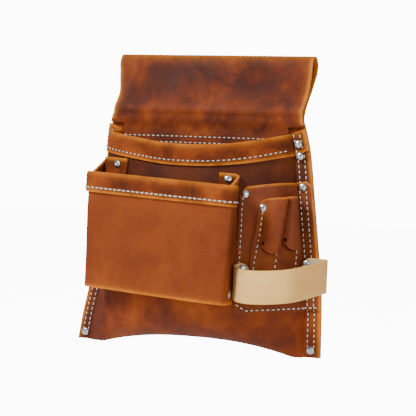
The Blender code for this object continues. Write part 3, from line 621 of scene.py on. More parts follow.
def backGrid():
    columns, backRows = tunnel["columns"], tunnel["backRows"]
    shares = [k / columns * 2 - 1 for k in range(columns + 1)]
    rows = []
    lowWaist = tunnel["waist"] - tunnel["slit"] / 2
    for k in range(backRows + 1):
        row = []
        for across in shares:
            side = 1 if across > 0 else -1
            z = mix(bottomEdge(across * bag["halfWidth"]), lowWaist, k / backRows)
            row.append(Vector((across * halfWidth(side, z), -halfHide, z)))
        rows.append(row)
    path = tunnelPath()
    for index, point in enumerate(path):
        row = []
        fade = math.sin(math.pi * index / (len(path) - 1)) ** 0.7
        drawn = tunnel["draw"] * math.exp(-((point.z - tunnel["drawAt"]) / tunnel["drawSpan"]) ** 2)
        drawn += tunnel["topDraw"] * ease((point.z - tunnel["topDrawAt"]) / tunnel["topDrawSpan"])
        for across in shares:
            side = 1 if across > 0 else -1
            x = across * (halfWidth(side, point.z) - (drawn * across ** 2 if side < 0 else 0))
            wave = tunnel["ripple"] * fade * noise.noise(Vector((x / 55, point.z / 40, point.y / 30)))
            row.append(Vector((x, point.y + wave, point.z + 0.4 * wave)))
        rows.append(row)
    shoulder = tunnel["shoulder"]
    heights = [lowWaist, *tunnel["aboveShoulder"]]
    heights += [shoulder - tunnel["cutStep"] * k for k in range(tunnel["cutRows"])] + list(tunnel["belowShoulder"])
    for z in heights:
        cut = ease((shoulder - z) / tunnel["cutDepth"])
        row = []
        for across in shares:
            side = 1 if across > 0 else -1
            inset = (margin(side) + tunnel["clear"]) * cut
            row.append(Vector((across * (halfWidth(side, z) - inset), tailY(z), z)))
        rows.append(row)
    # the rows run up the back and down the front, so the grain side is turned outwards
    return [row[::-1] for row in rows], backRows + 1 + len(path) // 2


hideRows, topFold = backGrid()
tailStart = len(hideRows) - tunnel["cutRows"] - len(tunnel["belowShoulder"]) - 1    # the tail shows no wear or painted highlight
backHide = leatherPiece("backAndBeltTunnel", [hideRows], hideStack(flapMaterial), folds=((topFold,),),
                        quietFrom=tailStart)
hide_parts("back_panel", "belt_tunnel", "belt_flap_tail")
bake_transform(backHide)
print("back and belt tunnel folded:", len(backHide.data.polygons), "faces")

# box pocket
box = {
    "height": 120, "bottom": 57, "tilt": 0.052, "tiltMiddle": -15, "rearRise": (19, 14), "hem": 19, "hemRow": 4.6,
    "topX": (-101, 72), "bottomX": (-109, 60), "foldX": (-97, 54.5),
    "topY": (-76, -94), "bottomY": (-63, -83),
    "flange": (31, 19), "flangeTurn": 3, "corner": 8, "belly": 3, "tab": 15, "tabBend": 2.5, "dents": 1.0,
    "frontPoints": 9, "wallRows": 30, "foldSteps": 8, "hemSteps": 8,
    "floorRise": 1.3, "floorFront": 1.85, "floorRear": (4.4, 4), "floorRows": 14, "floorColumns": 20,
}


def tilted(x, z):
    return z - box["tilt"] * (x - box["tiltMiddle"])


def onFrontTilted(x, z, lift):
    return onFront(x, tilted(x, z), lift)


def cornerPoints(place, before, after):
    first, last = place - before * box["corner"], place + after * box["corner"]
    return [first, place.lerp(first.lerp(last, 0.5), 0.5), last]


def boxKeys(z):    # the pocket's plan at one height, as the cut-out pattern has it
    t = min((z - box["bottom"]) / box["height"], 1.0)
    left = Vector((mix(box["bottomX"][0], box["topX"][0], t), mix(box["bottomY"][0], box["topY"][0], t), 0))
    right = Vector((mix(box["bottomX"][1], box["topX"][1], t), mix(box["bottomY"][1], box["topY"][1], t), 0))
    along = (right - left).normalized()
    forward = Vector((along.y, -along.x, 0))
    turn = box["flangeTurn"]
    flanges = [[onFrontTilted(fold + way * reach, z, layer) for reach in (wide, wide / 2, turn)]
               for fold, way, wide in zip(box["foldX"], (1, -1), box["flange"])]
    leftStart = onFrontTilted(box["foldX"][0], z, layer + turn)
    rightStart = onFrontTilted(box["foldX"][1], z, layer + turn)
    leftStart.z = rightStart.z = 0
    waist = rightStart.lerp(right, 0.5)
    waist.x = mix(right.x, box["foldX"][1], 0.75) + box["belly"] * (1 - t)
    points = flanges[0] + [leftStart, leftStart.lerp(left, 0.3), leftStart.lerp(left, 0.65)]
    points += cornerPoints(left, (left - leftStart).normalized(), along)
    spaces = box["frontPoints"] + 1
    for k in range(1, spaces):
        share = mix(0.07, 0.93, k / spaces)
        bow = box["belly"] * math.sin(math.pi * k / spaces)
        dent = box["dents"] * noise.noise(Vector((share * 3.2, z / 42, 5.5)))
        points.append(left.lerp(right, share) + forward * (bow + dent))
    points += cornerPoints(right, along, (waist - right).normalized())
    points += [waist, waist.lerp(rightStart, 0.55), rightStart] + flanges[1][::-1]
    for point in points:
        point.z = 0
    return points


boxSplit = (6, 5)    # pattern points before and after the front panel
boxSteps = 5         # finer points from one pattern point to the next


def boxPlan(z):
    keys = boxKeys(z)
    fine = smoothPath(keys, boxSteps)
    for point in fine:
        point.z = tilted(point.x, z)
    return fine


def planNormal(plan, index):
    tangent = plan[min(index + 1, len(plan) - 1)] - plan[max(index - 1, 0)]
    return Vector((tangent.y, -tangent.x, 0)).normalized()


def boxFrontShare(index, total):
    return ease((index / boxSteps - 2) / 4) * ease(((total - 1 - index) / boxSteps - 2) / 4)


def boxGrids():
    steps = box["wallRows"]
    total = len(boxPlan(box["bottom"]))
    shell = []
    planes = {}
    for k in range(steps + 1):
        row = []
        for index in range(total):
            rise = box["rearRise"][index > total / 2] * (1 - boxFrontShare(index, total))
            z = round((box["bottom"] + (box["height"] + rise) * k / steps) * 8) / 8    # neighbours share plans
            if k == steps and boxFrontShare(index, total) > 0.9999:
                z = box["bottom"] + box["height"]
            if z not in planes:
                planes[z] = boxPlan(z)
            row.append(planes[z][index])
        shell.append(row)
    radius = layer / 2
    top = box["bottom"] + box["height"]
    turns = [math.pi * k / box["foldSteps"] for k in range(box["foldSteps"] + 1)]
    section = [(radius * (1 - math.cos(turn)), top + radius * math.sin(turn)) for turn in turns]
    section += [(2 * radius, top - box["hem"] * k / box["hemSteps"]) for k in range(1, box["hemSteps"] + 1)]
    hem = []
    for lift, z in section:
        plan = boxPlan(min(z, top))
        row = []
        for index in range(boxSplit[0] * boxSteps, len(plan) - boxSplit[1] * boxSteps):
            place = plan[index] + planNormal(plan, index) * lift
            place.z = tilted(plan[index].x, z)
            row.append(place)
        hem.append(row)
    return [shell, hem]


boxPocket = leatherPiece("boxPocket", boxGrids(), [boxMaterial, boxFleshMaterial, edgeMaterial], reach=1.8,
                         folds=((), (4,)), edges=("bottom top", "top left right"))
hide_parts("box_pocket_shell")
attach(boxPocket, "pouch")


def wallX(plan, y, side):
    walk = plan[3 * boxSteps:9 * boxSteps] if side < 0 else plan[-4 * boxSteps:-10 * boxSteps:-1]
    for near, far in zip(walk, walk[1:]):
        if min(near.y, far.y) <= y <= max(near.y, far.y):
            return mix(near.x, far.x, (y - near.y) / (far.y - near.y))
    return walk[-1].x if y < walk[-1].y else walk[0].x


def boxFloorGrid():
    z = box["bottom"] + box["floorRise"] * bag["leather"]
    plan = boxPlan(z)
    inset = bag["leather"] + 2 * bag["gap"]
    bend = box["tabBend"]
    tab = [(0, box["tab"]), (0, 0.75 * box["tab"]), (0, 0.5 * box["tab"]), (0, bend), (0.3 * bend, 0.3 * bend),
           (bend, 0)]
    frontY0 = plan[(boxSplit[0] + 1) * boxSteps].y + box["floorFront"] * inset
    frontY1 = plan[-(boxSplit[1] + 1) * boxSteps - 1].y + box["floorFront"] * inset
    rearY0, rearY1 = (onFrontTilted(fold, z, 0).y - away * inset for fold, away in zip(box["foldX"], box["floorRear"]))
    rows = []
    for share in [k / box["floorRows"] for k in range(box["floorRows"] + 1)]:
        leftX = wallX(plan, mix(frontY0, rearY0, share), -1) + inset + 2 * bag["gap"]
        rightX = wallX(plan, mix(frontY1, rearY1, share), 1) - inset - bag["gap"]
        section = [(leftX + reach, rise) for reach, rise in tab]
        columns = box["floorColumns"]
        section += [(mix(leftX + bend, rightX - bend, k / columns), 0) for k in range(1, columns)]
        section += [(rightX - reach, rise) for reach, rise in tab[::-1]]
        row = []
        for x, rise in section:
            across = (x - leftX) / (rightX - leftX)
            flanged = x - leftX < box["flange"][0] or rightX - x < box["flange"][1]
            beside = layer + 4 * bag["gap"] if flanged else 0
            heights = (0, box["tab"]) if rise > 0 else (0,)
            rear = min(onFrontTilted(x, z + up, beside + layer).y for up in heights) - bag["gap"]
            row.append(Vector((x, mix(mix(frontY0, frontY1, across), rear, share), tilted(x, z) + rise)))
        rows.append(row)
    return rows


boxFloor = leatherPiece("boxPocketFloor", [boxFloorGrid()], hideStack(boxMaterial))
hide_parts("box_pocket_floor")
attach(boxFloor, "pouch")
print("box pocket folded:", len(boxPocket.data.polygons), "faces")

# tool pocket
tool = {
    "left": 57.5, "topZ": (174, 184), "bottomZ": (43, 50), "flat": 13, "corner": 9, "row": 2.9,
    "gape": 8, "gapePower": 1.2, "opening": (1.25, 0.15),    # the mouth stands open, most at its middle
    "inner": 40, "outer": 8, "rows": 40, "crowding": 1.15, "endDrop": 5,
}


def toolLift(x, z):
    start = tool["left"] + tool["flat"]
    across = (x - start) / (halfWidth(1, z) - bag["rightMargin"] - start)
    if not 0 < across < 1:
        return layer
    up = (z - tool["bottomZ"][0]) / (mix(*tool["topZ"], across) - tool["bottomZ"][0])
    rate, delay = tool["opening"]
    return layer + tool["gape"] * math.sin(math.pi * across) ** tool["gapePower"] * ease(up * rate - delay)


def onTool(x, z, lift):
    return onFront(x, z, toolLift(x, z) + lift)


def roundedDrop(distance, radius):
    if distance >= radius:
        return 0.0
    return radius - math.sqrt(max(radius ** 2 - (radius - distance) ** 2, 0))


def toolGrid():
    inner, outer, count = tool["inner"], tool["outer"], tool["rows"]
    rows = []
    for k in range(count + 1):
        row = []
        for column in range(inner + outer + 1):
            z = mix(tool["bottomZ"][0], tool["topZ"][0], k / count)
            for _ in range(3):
                edge = halfWidth(1, z)
                if column <= inner:
                    x = mix(tool["left"], edge - bag["rightMargin"], (column / inner) ** tool["crowding"])
                else:
                    x = mix(edge - bag["rightMargin"], edge, (column - inner) / outer)
                across = (x - tool["left"]) / (edge - tool["left"])
                high = mix(*tool["topZ"], across) - roundedDrop(x - tool["left"], tool["corner"])
                high -= tool["endDrop"] * max(0, (column - inner) / outer * 3 - 2)
                z = mix(mix(*tool["bottomZ"], across), high, k / count)
            row.append(onTool(x, z, 0))
        rows.append(row)
    return rows


toolPocket = leatherPiece("toolPocket", [toolGrid()], hideStack(toolMaterial), reach=0.9, edges=("top right",))
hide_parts("tool_pocket_panel")
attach(toolPocket, "pouch")
print("tool pocket made:", len(toolPocket.data.polygons), "faces")

# pencil sleeves: one piece, cut with two curved slits and pushed out above them
sleeves = {
    "leftX": (70, 75.2), "rightX": (110.5, 102.3), "middle": 91.5, "margin": 8,
    "topZ": (160, 167), "slitZ": (106.5, 110.5), "slitRise": 13, "bottom": 64,
    "bulge": 10, "lean": (6.5, 2.5), "corner": 6, "between": 85, "splitZ": 106, "upperZ": 163,
    "leftTurn": ((64, 0), (96, 0.12), (124, 0.72), (160, 1)), "rightTurn": ((64, 0), (108, 0), (122, 0.25), (160, 1)),
    "ridge": 0.78, "back": 0.22, "steps": 24, "lowerRows": 14, "upperRows": 22, "firstPuff": 0.85, "slitSpan": 0.62,
    "hole": 1.9, "holeAlong": 0.1, "holeShift": (2.6, 0.8), "holeUp": 0.86, "drill": 9, "drillOut": 3.4,
}


def sleeveEdges(z):
    left, right = smoothThrough(sleeves["leftTurn"], z), smoothThrough(sleeves["rightTurn"], z)
    return mix(*sleeves["leftX"], left), mix(*sleeves["rightX"], right)


def sleeveSpans(z):
    left, right = sleeveEdges(z)
    return ((left + sleeves["margin"] - 3, sleeves["middle"] - 1), (sleeves["middle"] + 2.5, right - 3))


def sleeveProfile(t):    # a flat face that turns back sharply at its right end
    ridge = sleeves["ridge"]
    if t < ridge:
        return math.sin(math.pi / 2 * (t / ridge)) ** 0.85
    return math.cos(math.pi / 2 * (t - ridge) / sleeves["back"]) ** 0.7


def sleeveSection(z, puff):
    left, right = sleeveEdges(z)
    points = [(left + sleeves["margin"] * k / 4 * 0.6, 0, None) for k in range(4)]
    for number, (start, end) in enumerate(sleeveSpans(z)):
        for k in range(sleeves["steps"] + 1):
            t = k / sleeves["steps"]
            rise = sleeves["bulge"] * puff * sleeveProfile(t)
            x = mix(start, end, t) + sleeves["lean"][number] * puff * sleeveProfile(t) * t ** 2
            points.append((x, rise, (number, t)))
    points.append((right - 1.5, 0, None))
    points.append((right, 0, None))
    return points


def slitHeight(place):
    if place is None:
        return None
    number, t = place
    return sleeves["slitZ"][number] + sleeves["slitRise"] * max(0.0, 1 - t / sleeves["slitSpan"]) ** 1.7


def sleeveRow(share, upper, puff):
    split = sleeves["splitZ"]
    middle = mix(split, sleeves["upperZ"], share) if upper else mix(sleeves["bottom"], split, share)
    flat = sleeveSection(middle, 0)
    heights = []
    for x, _, place in flat:
        slit = slitHeight(place)
        if slit is None:
            slit = sleeves["slitZ"][0] + sleeves["slitRise"] if x < sleeves["between"] else sleeves["slitZ"][1]
        across = (x - sleeves["leftX"][0]) / (sleeves["rightX"][0] - sleeves["leftX"][0])
        high = mix(*sleeves["topZ"], across) - roundedDrop(x - flat[0][0], sleeves["corner"])
        heights.append(mix(slit, high, share) if upper else mix(sleeves["bottom"], slit, share))
    return [onTool(x, z, layer + lift) for (x, lift, _), z in zip(sleeveSection(middle, puff), heights)]


def sleeveGrids():
    low, high = sleeves["lowerRows"], sleeves["upperRows"]
    lower = [sleeveRow(k / low, False, 0) for k in range(low + 1)]
    upper = [sleeveRow(k / high, True, mix(sleeves["firstPuff"], 1.0, k / high)) for k in range(high + 1)]
    return [lower, upper]


def sleeveCutters():
    found = []
    for number in (0, 1):
        start, end = sleeveSpans(sleeves["slitZ"][number])[number]
        x = mix(start, end, sleeves["holeAlong"]) + sleeves["holeShift"][number]
        z = sleeves["slitZ"][number] + sleeves["slitRise"] * sleeves["holeUp"]
        normal = surfaceNormal(onTool, x, z, layer)
        middle = onTool(x, z, layer) + normal * sleeves["drillOut"]
        drill = bmesh.new()
        turn = normal.to_track_quat("Z", "Y").to_matrix().to_4x4()
        bmesh.ops.create_cone(drill, cap_ends=True, segments=20, depth=sleeves["drill"], radius1=sleeves["hole"],
                              radius2=sleeves["hole"], matrix=Matrix.Translation(middle) @ turn)
        found.append(intoScene("sleeveDrill", meshFrom("sleeveDrill", drill)))
    return found


pencilSleeves = leatherPiece("pencilSleeves", sleeveGrids(), hideStack(toolMaterial), reach=0.8,
                             edges=("", "top"), cutters=sleeveCutters())
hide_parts("pencil_sleeves")
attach(pencilSleeves, "pouch")
print("pencil sleeves pleated:", len(pencilSleeves.data.polygons), "faces")

# hammer strap: one strap, its two ends folded back and riveted down
strap = {
    "width": 34, "thickness": 3, "leftZ": 79, "rightZ": 87, "leftX": (59, 68.5), "rightReach": 20,
    "reach": 29, "droop": 6, "corner": 9, "thread": 1.1, "rightRise": 2.2,
    "points": 150, "halfRows": 6, "tabRun": 14, "tabRuns": (50, 48), "leftDrop": 3,
}
underThread = strap["thread"] + 2 * bag["gap"]
tabLift = (bag["leather"] + strap["thickness"]) / 2 + underThread
rightTabLift = tabLift + strap["rightRise"]


def strapPath():
    left = onTool(strap["leftX"][0], strap["leftZ"], tabLift)
    start = halfWidth(1, strap["rightZ"] - strap["width"] / 2) - bag["rightMargin"]
    right = Vector((start + strap["rightReach"], marginY - layer - rightTabLift, strap["rightZ"]))
    loop = [(left.x + 3.5, left.y - 10), (left.x + 9, left.y - 18),
            (mix(left.x, right.x, 0.33), left.y - 0.97 * strap["reach"]),
            (mix(left.x, right.x, 0.6), left.y - strap["reach"]),
            (mix(left.x, right.x, 0.86), left.y - 0.76 * strap["reach"]),
            (right.x + 5, mix(left.y, right.y, 0.2)), (right.x + 10, mix(left.y, right.y, 0.62)),
            (right.x + 8, right.y - 8)]
    innerLeft = onTool(strap["leftX"][1] + 2, strap["leftZ"], tabLift)
    points = [(innerLeft.x, innerLeft.y), (mix(left.x, innerLeft.x, 0.5), mix(left.y, innerLeft.y, 0.5)),
              (left.x + 0.6, left.y - 1.2), (left.x - 0.1, left.y - 5)]
    points += loop + [(right.x + 5, right.y - 2.2), (right.x - 1, right.y), (mix(start, right.x, 0.5), right.y),
                      (start, right.y)]
    return spread(smoothPath([Vector((x, y, 0)) for x, y in points], 10), strap["points"])


def strapGrid():
    path = strapPath()
    total = sum((b - a).length for a, b in zip(path, path[1:]))
    walked = 0.0
    halfRows, run = strap["halfRows"], strap["tabRun"]
    rows = [[] for _ in range(2 * halfRows + 1)]
    for index, point in enumerate(path):
        if index:
            walked += (point - path[index - 1]).length
        climb = ease((walked - run) / (total - strap["tabRuns"][0]))
        loose = min(max((walked - run) / (total - strap["tabRuns"][1]), 0), 1)
        middle = mix(strap["leftZ"] - strap["leftDrop"] * ease((walked - 8) / 14), strap["rightZ"], climb)
        middle -= strap["droop"] * math.sin(math.pi * loose)
        nearEnd = min(walked, total - walked)
        half = strap["width"] / 2 - roundedDrop(nearEnd, strap["corner"])
        for k, row in enumerate(rows):
            row.append(Vector((point.x, point.y, middle + half * (k / halfRows - 1))))
    return rows


hammerStrap = leatherPiece("hammerStrap", [strapGrid()], [strapMaterial, strapFlesh, strapEdge],
                           thickness=strap["thickness"], reach=1.3, softEdge=0.7)
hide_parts("hammer_strap", "strap_tab_left", "strap_tab_right")
rock = frame["record"]["behaviour"]["joints"][1]
rockAxis = Vector(rock["axis"]).normalized()
rockOut = rockAxis.cross(Vector((0, 0, 1))).normalized()
if rockOut.y > 0:
    rockOut = -rockOut
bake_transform(hammerStrap)
print("hammer strap bent:", len(hammerStrap.data.polygons), "faces")


# sewn rows
stitching = {
    "pitch": 5.5, "length": 4.0, "thickness": 1.15, "boldLength": 4.9, "boldThickness": 1.45, "seed": 7,
    "sway": 0.05, "boldSway": 0.16, "rings": 9, "sides": 8, "twist": 2.2, "ply": 0.14,
    "holeHigh": 0.05, "holeLow": -0.5, "rightRows": (6.5, 13.5), "leftRows": (5, 10.5), "seamEnd": 6,
}


def shapeObject(name, shape):    # a small shape for Geometry Nodes to place
    bmesh.ops.recalc_face_normals(shape, faces=shape.faces)
    mesh = meshFrom(name, shape)
    mesh.shade_smooth()
    return bpy.data.objects.new(name, mesh)


def stitchShape(name, length, thickness):    # a padded bar whose ends dive into their holes, and two dark discs at the holes, painted as the shade in them
    shape = bmesh.new()
    hole = shape.faces.layers.float.new("hole")
    rings, sides = stitching["rings"], stitching["sides"]
    loops = []
    for k in range(rings):
        t = k / (rings - 1)
        x = length * (t - 0.5)
        fat = thickness / 2 * (0.35 + 0.65 * math.sin(math.pi * t) ** 0.45)
        lift = thickness * (0.34 - 0.75 * abs(2 * t - 1) ** 3)
        twist = stitching["twist"] * t
        loop = []
        for s in range(sides):
            angle = 2 * math.pi * s / sides + twist
            ply = 1 + stitching["ply"] * math.cos(2 * angle - 2 * twist * 2)
            loop.append(shape.verts.new((x, fat * ply * math.cos(angle), lift + fat * ply * math.sin(angle))))
        loops.append(loop)
    for one, two in zip(loops, loops[1:]):
        for s in range(sides):
            shape.faces.new((one[s], two[s], two[(s + 1) % sides], one[(s + 1) % sides]))
    shape.faces.new(loops[0])
    shape.faces.new(loops[-1][::-1])
    for end in (-0.5, 0.5):
        ring = []
        for s in range(sides):
            angle = 2 * math.pi * s / sides
            ring.append(shape.verts.new((length * end + 0.62 * thickness * math.cos(angle),
                                         0.5 * thickness * math.sin(angle), stitching["holeHigh"])))
        under = [shape.verts.new((vert.co.x, vert.co.y, stitching["holeLow"])) for vert in ring]
        shape.faces.new(ring)[hole] = 1
        shape.faces.new(under[::-1])[hole] = 1
        for s in range(sides):
            after = (s + 1) % sides
            shape.faces.new((ring[s], under[s], under[after], ring[after]))[hole] = 1
    return shapeObject(name, shape)


def placingTree(name, alongPath):    # sets a shape on each point, or at an even pitch along a path
    tree = bpy.data.node_groups.new(name, "GeometryNodeTree")
    sockets = [("Geometry", "Geometry"), ("Pitch", "Float"), ("Shape", "Object"), ("Main finish", "Material"),
               ("Hole shadow", "Material"), ("Sway", "Float"), ("Seed", "Int")]
    for label, kind in sockets:
        if alongPath or label != "Pitch":
            tree.interface.new_socket(label, in_out="INPUT", socket_type="NodeSocket" + kind)
    tree.interface.new_socket("Geometry", in_out="OUTPUT", socket_type="NodeSocketGeometry")

    def add(kind, place, inputs=None, **settings):
        return newNode(tree, kind, place, inputs, **settings).outputs

    given = add("NodeGroupInput", (-1200, 0))
    outward = add("GeometryNodeInputNamedAttribute", (-700, -300), {"Name": "out"}, data_type="FLOAT_VECTOR")
    upright = add("FunctionNodeAlignRotationToVector", (-400, -300), {"Vector": outward["Attribute"]}, axis="Z")
    points, stance = given["Geometry"], upright[0]
    if alongPath:
        path = add("GeometryNodeMeshToCurve", (-800, 0), {0: points})
        points = add("GeometryNodeResampleCurve", (-500, 0), {"Curve": path[0], "Length": given["Pitch"]},
                     mode="LENGTH")[0]
        tangent = add("GeometryNodeInputTangent", (-500, -500))
        stance = add("FunctionNodeAlignRotationToVector", (-200, -300), {"Rotation": stance, "Vector": tangent[0]},
                     axis="X", pivot_axis="Z")[0]
    least = add("ShaderNodeMath", (-700, -700), {0: given["Sway"], 1: -1}, operation="MULTIPLY")
    chance = add("FunctionNodeRandomValue", (-400, -700), {2: least[0], 3: given["Sway"], "Seed": given["Seed"]},
                 data_type="FLOAT")
    swayAngles = add("ShaderNodeCombineXYZ", (-200, -700), {"Z": chance[1]})
    sway = add("FunctionNodeEulerToRotation", (-100, -600), {0: swayAngles[0]})
    stance = add("FunctionNodeRotateRotation", (0, -300), {"Rotation": stance, "Rotate By": sway[0]},
                 rotation_space="LOCAL")
    shape = add("GeometryNodeObjectInfo", (-100, 200), {"Object": given["Shape"]})
    placed = add("GeometryNodeInstanceOnPoints", (200, 0),
                 {"Points": points, "Rotation": stance[0], "Instance": shape["Geometry"]})
    solid = add("GeometryNodeRealizeInstances", (400, 0), {0: placed[0]})
    main = add("GeometryNodeSetMaterial", (550, 0), {"Geometry": solid[0], "Material": given["Main finish"]})
    hole = add("GeometryNodeInputNamedAttribute", (400, -300), {"Name": "hole"}, data_type="FLOAT")
    isHole = add("FunctionNodeCompare", (560, -300), {0: hole["Attribute"], 1: 0.5}, data_type="FLOAT",
                 operation="GREATER_THAN")
    both = add("GeometryNodeSetMaterial", (720, 0),
               {"Geometry": main[0], "Selection": isHole[0], "Material": given["Hole shadow"]})
    add("NodeGroupOutput", (900, 0), {0: both[0]})
    return tree


def guideMesh(name, places, joined):    # places are (point, outward direction)
    mesh = bpy.data.meshes.new(name)
    edges = [(k, k + 1) for k in range(len(places) - 1)] if joined else []
    mesh.from_pydata([place for place, _ in places], edges, [])
    outward = mesh.attributes.new("out", "FLOAT_VECTOR", "POINT")
    for index, (_, direction) in enumerate(places):
        outward.data[index].vector = direction
    return intoScene(name, mesh)


def setInputs(modifier, values):
    for item in modifier.node_group.interface.items_tree:
        if item.item_type == "SOCKET" and item.in_out == "INPUT" and item.name in values:
            modifier[item.identifier] = values[item.name]


def placeShapes(name, guides, tree, values, joined, replaced):
    item = guideMesh(name, guides, joined)
    modifier = item.modifiers.new("placed", "NODES")
    modifier.node_group = tree
    setInputs(modifier, values)
    settle(item, name)
    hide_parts(*replaced)
    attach(item, "pouch")
    return item


sewnTree = placingTree("sewnRow", True)
fixedTree = placingTree("setRivets", False)
plainStitch = stitchShape("stitchShape", stitching["length"], stitching["thickness"])
boldStitch = stitchShape("boldStitchShape", stitching["boldLength"], stitching["boldThickness"])


def sew(node, places, bold=False, replaced=None):
    name = "stitches" + "".join(word.capitalize() for word in node.split("_")[1:])
    values = {"Pitch": stitching["pitch"], "Shape": boldStitch if bold else plainStitch,
              "Main finish": threadMaterial, "Hole shadow": holeShadowMaterial,
              "Sway": stitching["boldSway" if bold else "sway"], "Seed": stitching["seed"]}
    return placeShapes(name, places, sewnTree, values, True, [node] if replaced is None else replaced)


def stepUp(value, edge, lift):
    return lift * ease((value - edge + 1.5) / 2.5)


def rightSeamLift(x, z):
    tall = stepUp(z, tool["bottomZ"][1], layer) - stepUp(z, tool["topZ"][1] - 4, layer)
    return tall + stepUp(z, mouthEdge(x) - bag["hem"], layer)


def leftSeamLift(x, z):
    return stepUp(z, mouthEdge(x) - bag["hem"], layer)


facing = Vector((0, -1, 0))


def sewSeam(node, side, inset, liftAt):    # the row in front, and the same thread behind
    front, behind = [], []
    for k in range(120):
        z = mix(stitching["seamEnd"], bag["mouth"] - stitching["seamEnd"], k / 119)
        x = side * (halfWidth(side, z) - inset)
        front.append((Vector((x, marginY - halfHide - liftAt(x, z), z)), facing))
        behind.append((Vector((x, 0, z)), -facing))
    sew(node, front)
    sew(node + "_behind", behind, replaced=[])


for word, height in zip(("upper", "lower"), tunnel["rows"]):
    reach = halfWidth(1, height) - tunnel["rowInset"]
    sew("thread_tunnel_" + word, [(Vector((mix(-reach, reach, k / 30), tailY(height) - halfHide, height)), facing)
                                  for k in range(31)])
hemPlaces = []
for k in range(81):
    x = mix(-0.672, 0.665, k / 80) * bag["halfWidth"]
    z = mouthEdge(x) - bag["hem"] + bag["hemRow"]
    hemPlaces.append((onFront(x, z, layer + halfHide), frontNormal(x, z)))
sew("thread_main_hem", hemPlaces)
hemPlan = boxPlan(box["bottom"] + box["height"] - box["hem"] + box["hemRow"])
boxHemPlaces = []
for index in range(boxSplit[0] * boxSteps + 1, len(hemPlan) - boxSplit[1] * boxSteps - 1):
    normal = planNormal(hemPlan, index)
    boxHemPlaces.append((hemPlan[index] + normal * (layer + halfHide), normal))
sew("thread_box_hem", boxHemPlaces, True)
for word, side, liftAt in (("right", 1, rightSeamLift), ("left", -1, leftSeamLift)):
    for row, inset in zip(("outer", "inner"), stitching[word + "Rows"]):
        sewSeam(f"thread_seam_{word}_{row}", side, inset, liftAt)


def sewOn(node, surface, spots, lift):
    sew(node, [(surface(x, z, lift + halfHide), surfaceNormal(surface, x, z, lift)) for x, z in spots])


sewOn("thread_tool_left", onTool, [(tool["left"] + tool["row"], mix(57, 162, k / 50)) for k in range(51)], 0)
bottomSpots = []
for k in range(51):
    x = mix(tool["left"] + 3, halfWidth(1, 50) - 5, k / 50)
    across = (x - tool["left"]) / (halfWidth(1, 50) - tool["left"])
    z = mix(*tool["bottomZ"], across) + tool["row"] + 5 * max(0, 1 - (x - tool["left"] - 4) / 7)
    bottomSpots.append((x, z))
sewOn("thread_tool_bottom", onTool, bottomSpots, 0)
for name, high in (("left", 148), ("middle", 106), ("right", 109)):
    spots = []
    for k in range(41):
        z = mix(sleeves["bottom"] + 4, high, k / 40)
        left, right = sleeveEdges(z)
        x = {"left": left + 3.4, "middle": sleeves["middle"] + 0.7, "right": right - 2.5}[name]
        spots.append((x, z))
    sewOn("thread_sleeve_" + name, onTool, spots, layer)
print("rows sewn")

# tubular rivets
rivets = {
    "head": 8.8, "dome": 1.7, "end": 6.4, "drop": 7, "tabSpacing": 22, "sides": 28,
    "sink": 0.9, "proud": 0.15, "tabProud": 0.2, "rear": 0.55, "seamZ": (8, 27, 14.5),
    "seed": 3, "endSeed": 5, "sway": 3.1,
}
capRadius, capDome, endRadius = rivets["head"] / 2, rivets["dome"], rivets["end"] / 2
shank = [(0.97 * capRadius, -0.15), (1.7, -0.2), (1.7, -2.6), (0, -2.6)]
plainOutline = [(0, 1), (0.35, 0.96), (0.66, 0.78), (0.86, 0.52), (0.97, 0.22), (1, 0)]
dimpleOutline = [(0, 0.55), (0.16, 0.6), (0.26, 0.95), (0.4, 1.0), (0.55, 0.8), (0.66, 0.74), (0.88, 0.52),
                 (0.98, 0.2), (1, 0)]
rolledOutline = [(0, 0.25), (0.3, 0.25), (0.42, 0.55), (0.62, 0.88), (0.84, 0.6), (1, 0.1), (0.9, -0.4), (0, -0.4)]


def turned(name, outline):
    shape = bmesh.new()
    sides = rivets["sides"]
    rings = []
    for radius, height in outline:
        if radius == 0:
            rings.append([shape.verts.new((0, 0, height))] * sides)
        else:
            rings.append([shape.verts.new((radius * math.cos(2 * math.pi * s / sides),
                                           radius * math.sin(2 * math.pi * s / sides), height))
                          for s in range(sides)])
    for one, two in zip(rings, rings[1:]):
        for s in range(sides):
            after = (s + 1) % sides
            corners = []
            for vert in (one[s], one[after], two[after], two[s]):
                if vert not in corners:
                    corners.append(vert)
            shape.faces.new(corners)
    return shapeObject(name, shape)


plainCap = turned("plainCap", [(r * capRadius, h * capDome) for r, h in plainOutline] + shank)
dimpleCap = turned("dimpleCap", [(r * capRadius, h * capDome) for r, h in dimpleOutline] + shank)
rolledEnd = turned("rolledEnd", [(r * endRadius, h) for r, h in rolledOutline])


def betweenRows(side, z):
    outer, inner = stitching["rightRows" if side > 0 else "leftRows"]
    return side * (halfWidth(side, z) - (outer + inner) / 2)


caps = {"plain": [], "dimple": []}
ends = []
marginHead = marginY - halfHide - underThread - 0.3


def seamCap(kind, side, z, y):    # a cap in the side seam, and its rolled end behind
    x = betweenRows(side, z)
    caps[kind].append((Vector((x, y, z)), facing))
    ends.append((Vector((x, -rivets["rear"], z)), -facing))


bottomZ, *belowMouth = rivets["seamZ"]
for side in (1, -1):
    seamCap("plain", side, bottomZ, marginHead + rivets["sink"])
for below in belowMouth:
    for side in (1, -1):
        seamCap("dimple", side, bag["mouth"] - below, marginHead - layer + rivets["sink"])
seamCap("plain", 1, tool["topZ"][1] - rivets["drop"], marginHead - layer + rivets["sink"])
for up in (1, -1):
    seamCap("plain", 1, strap["rightZ"] + up * rivets["tabSpacing"] / 2,
            marginY - layer - rightTabLift - strap["thickness"] / 2 - rivets["tabProud"])


def surfaceCap(kind, surface, x, z, lift, half):
    normal = surfaceNormal(surface, x, z, lift)
    caps[kind].append((surface(x, z, lift) + normal * (half + rivets["proud"]), normal))


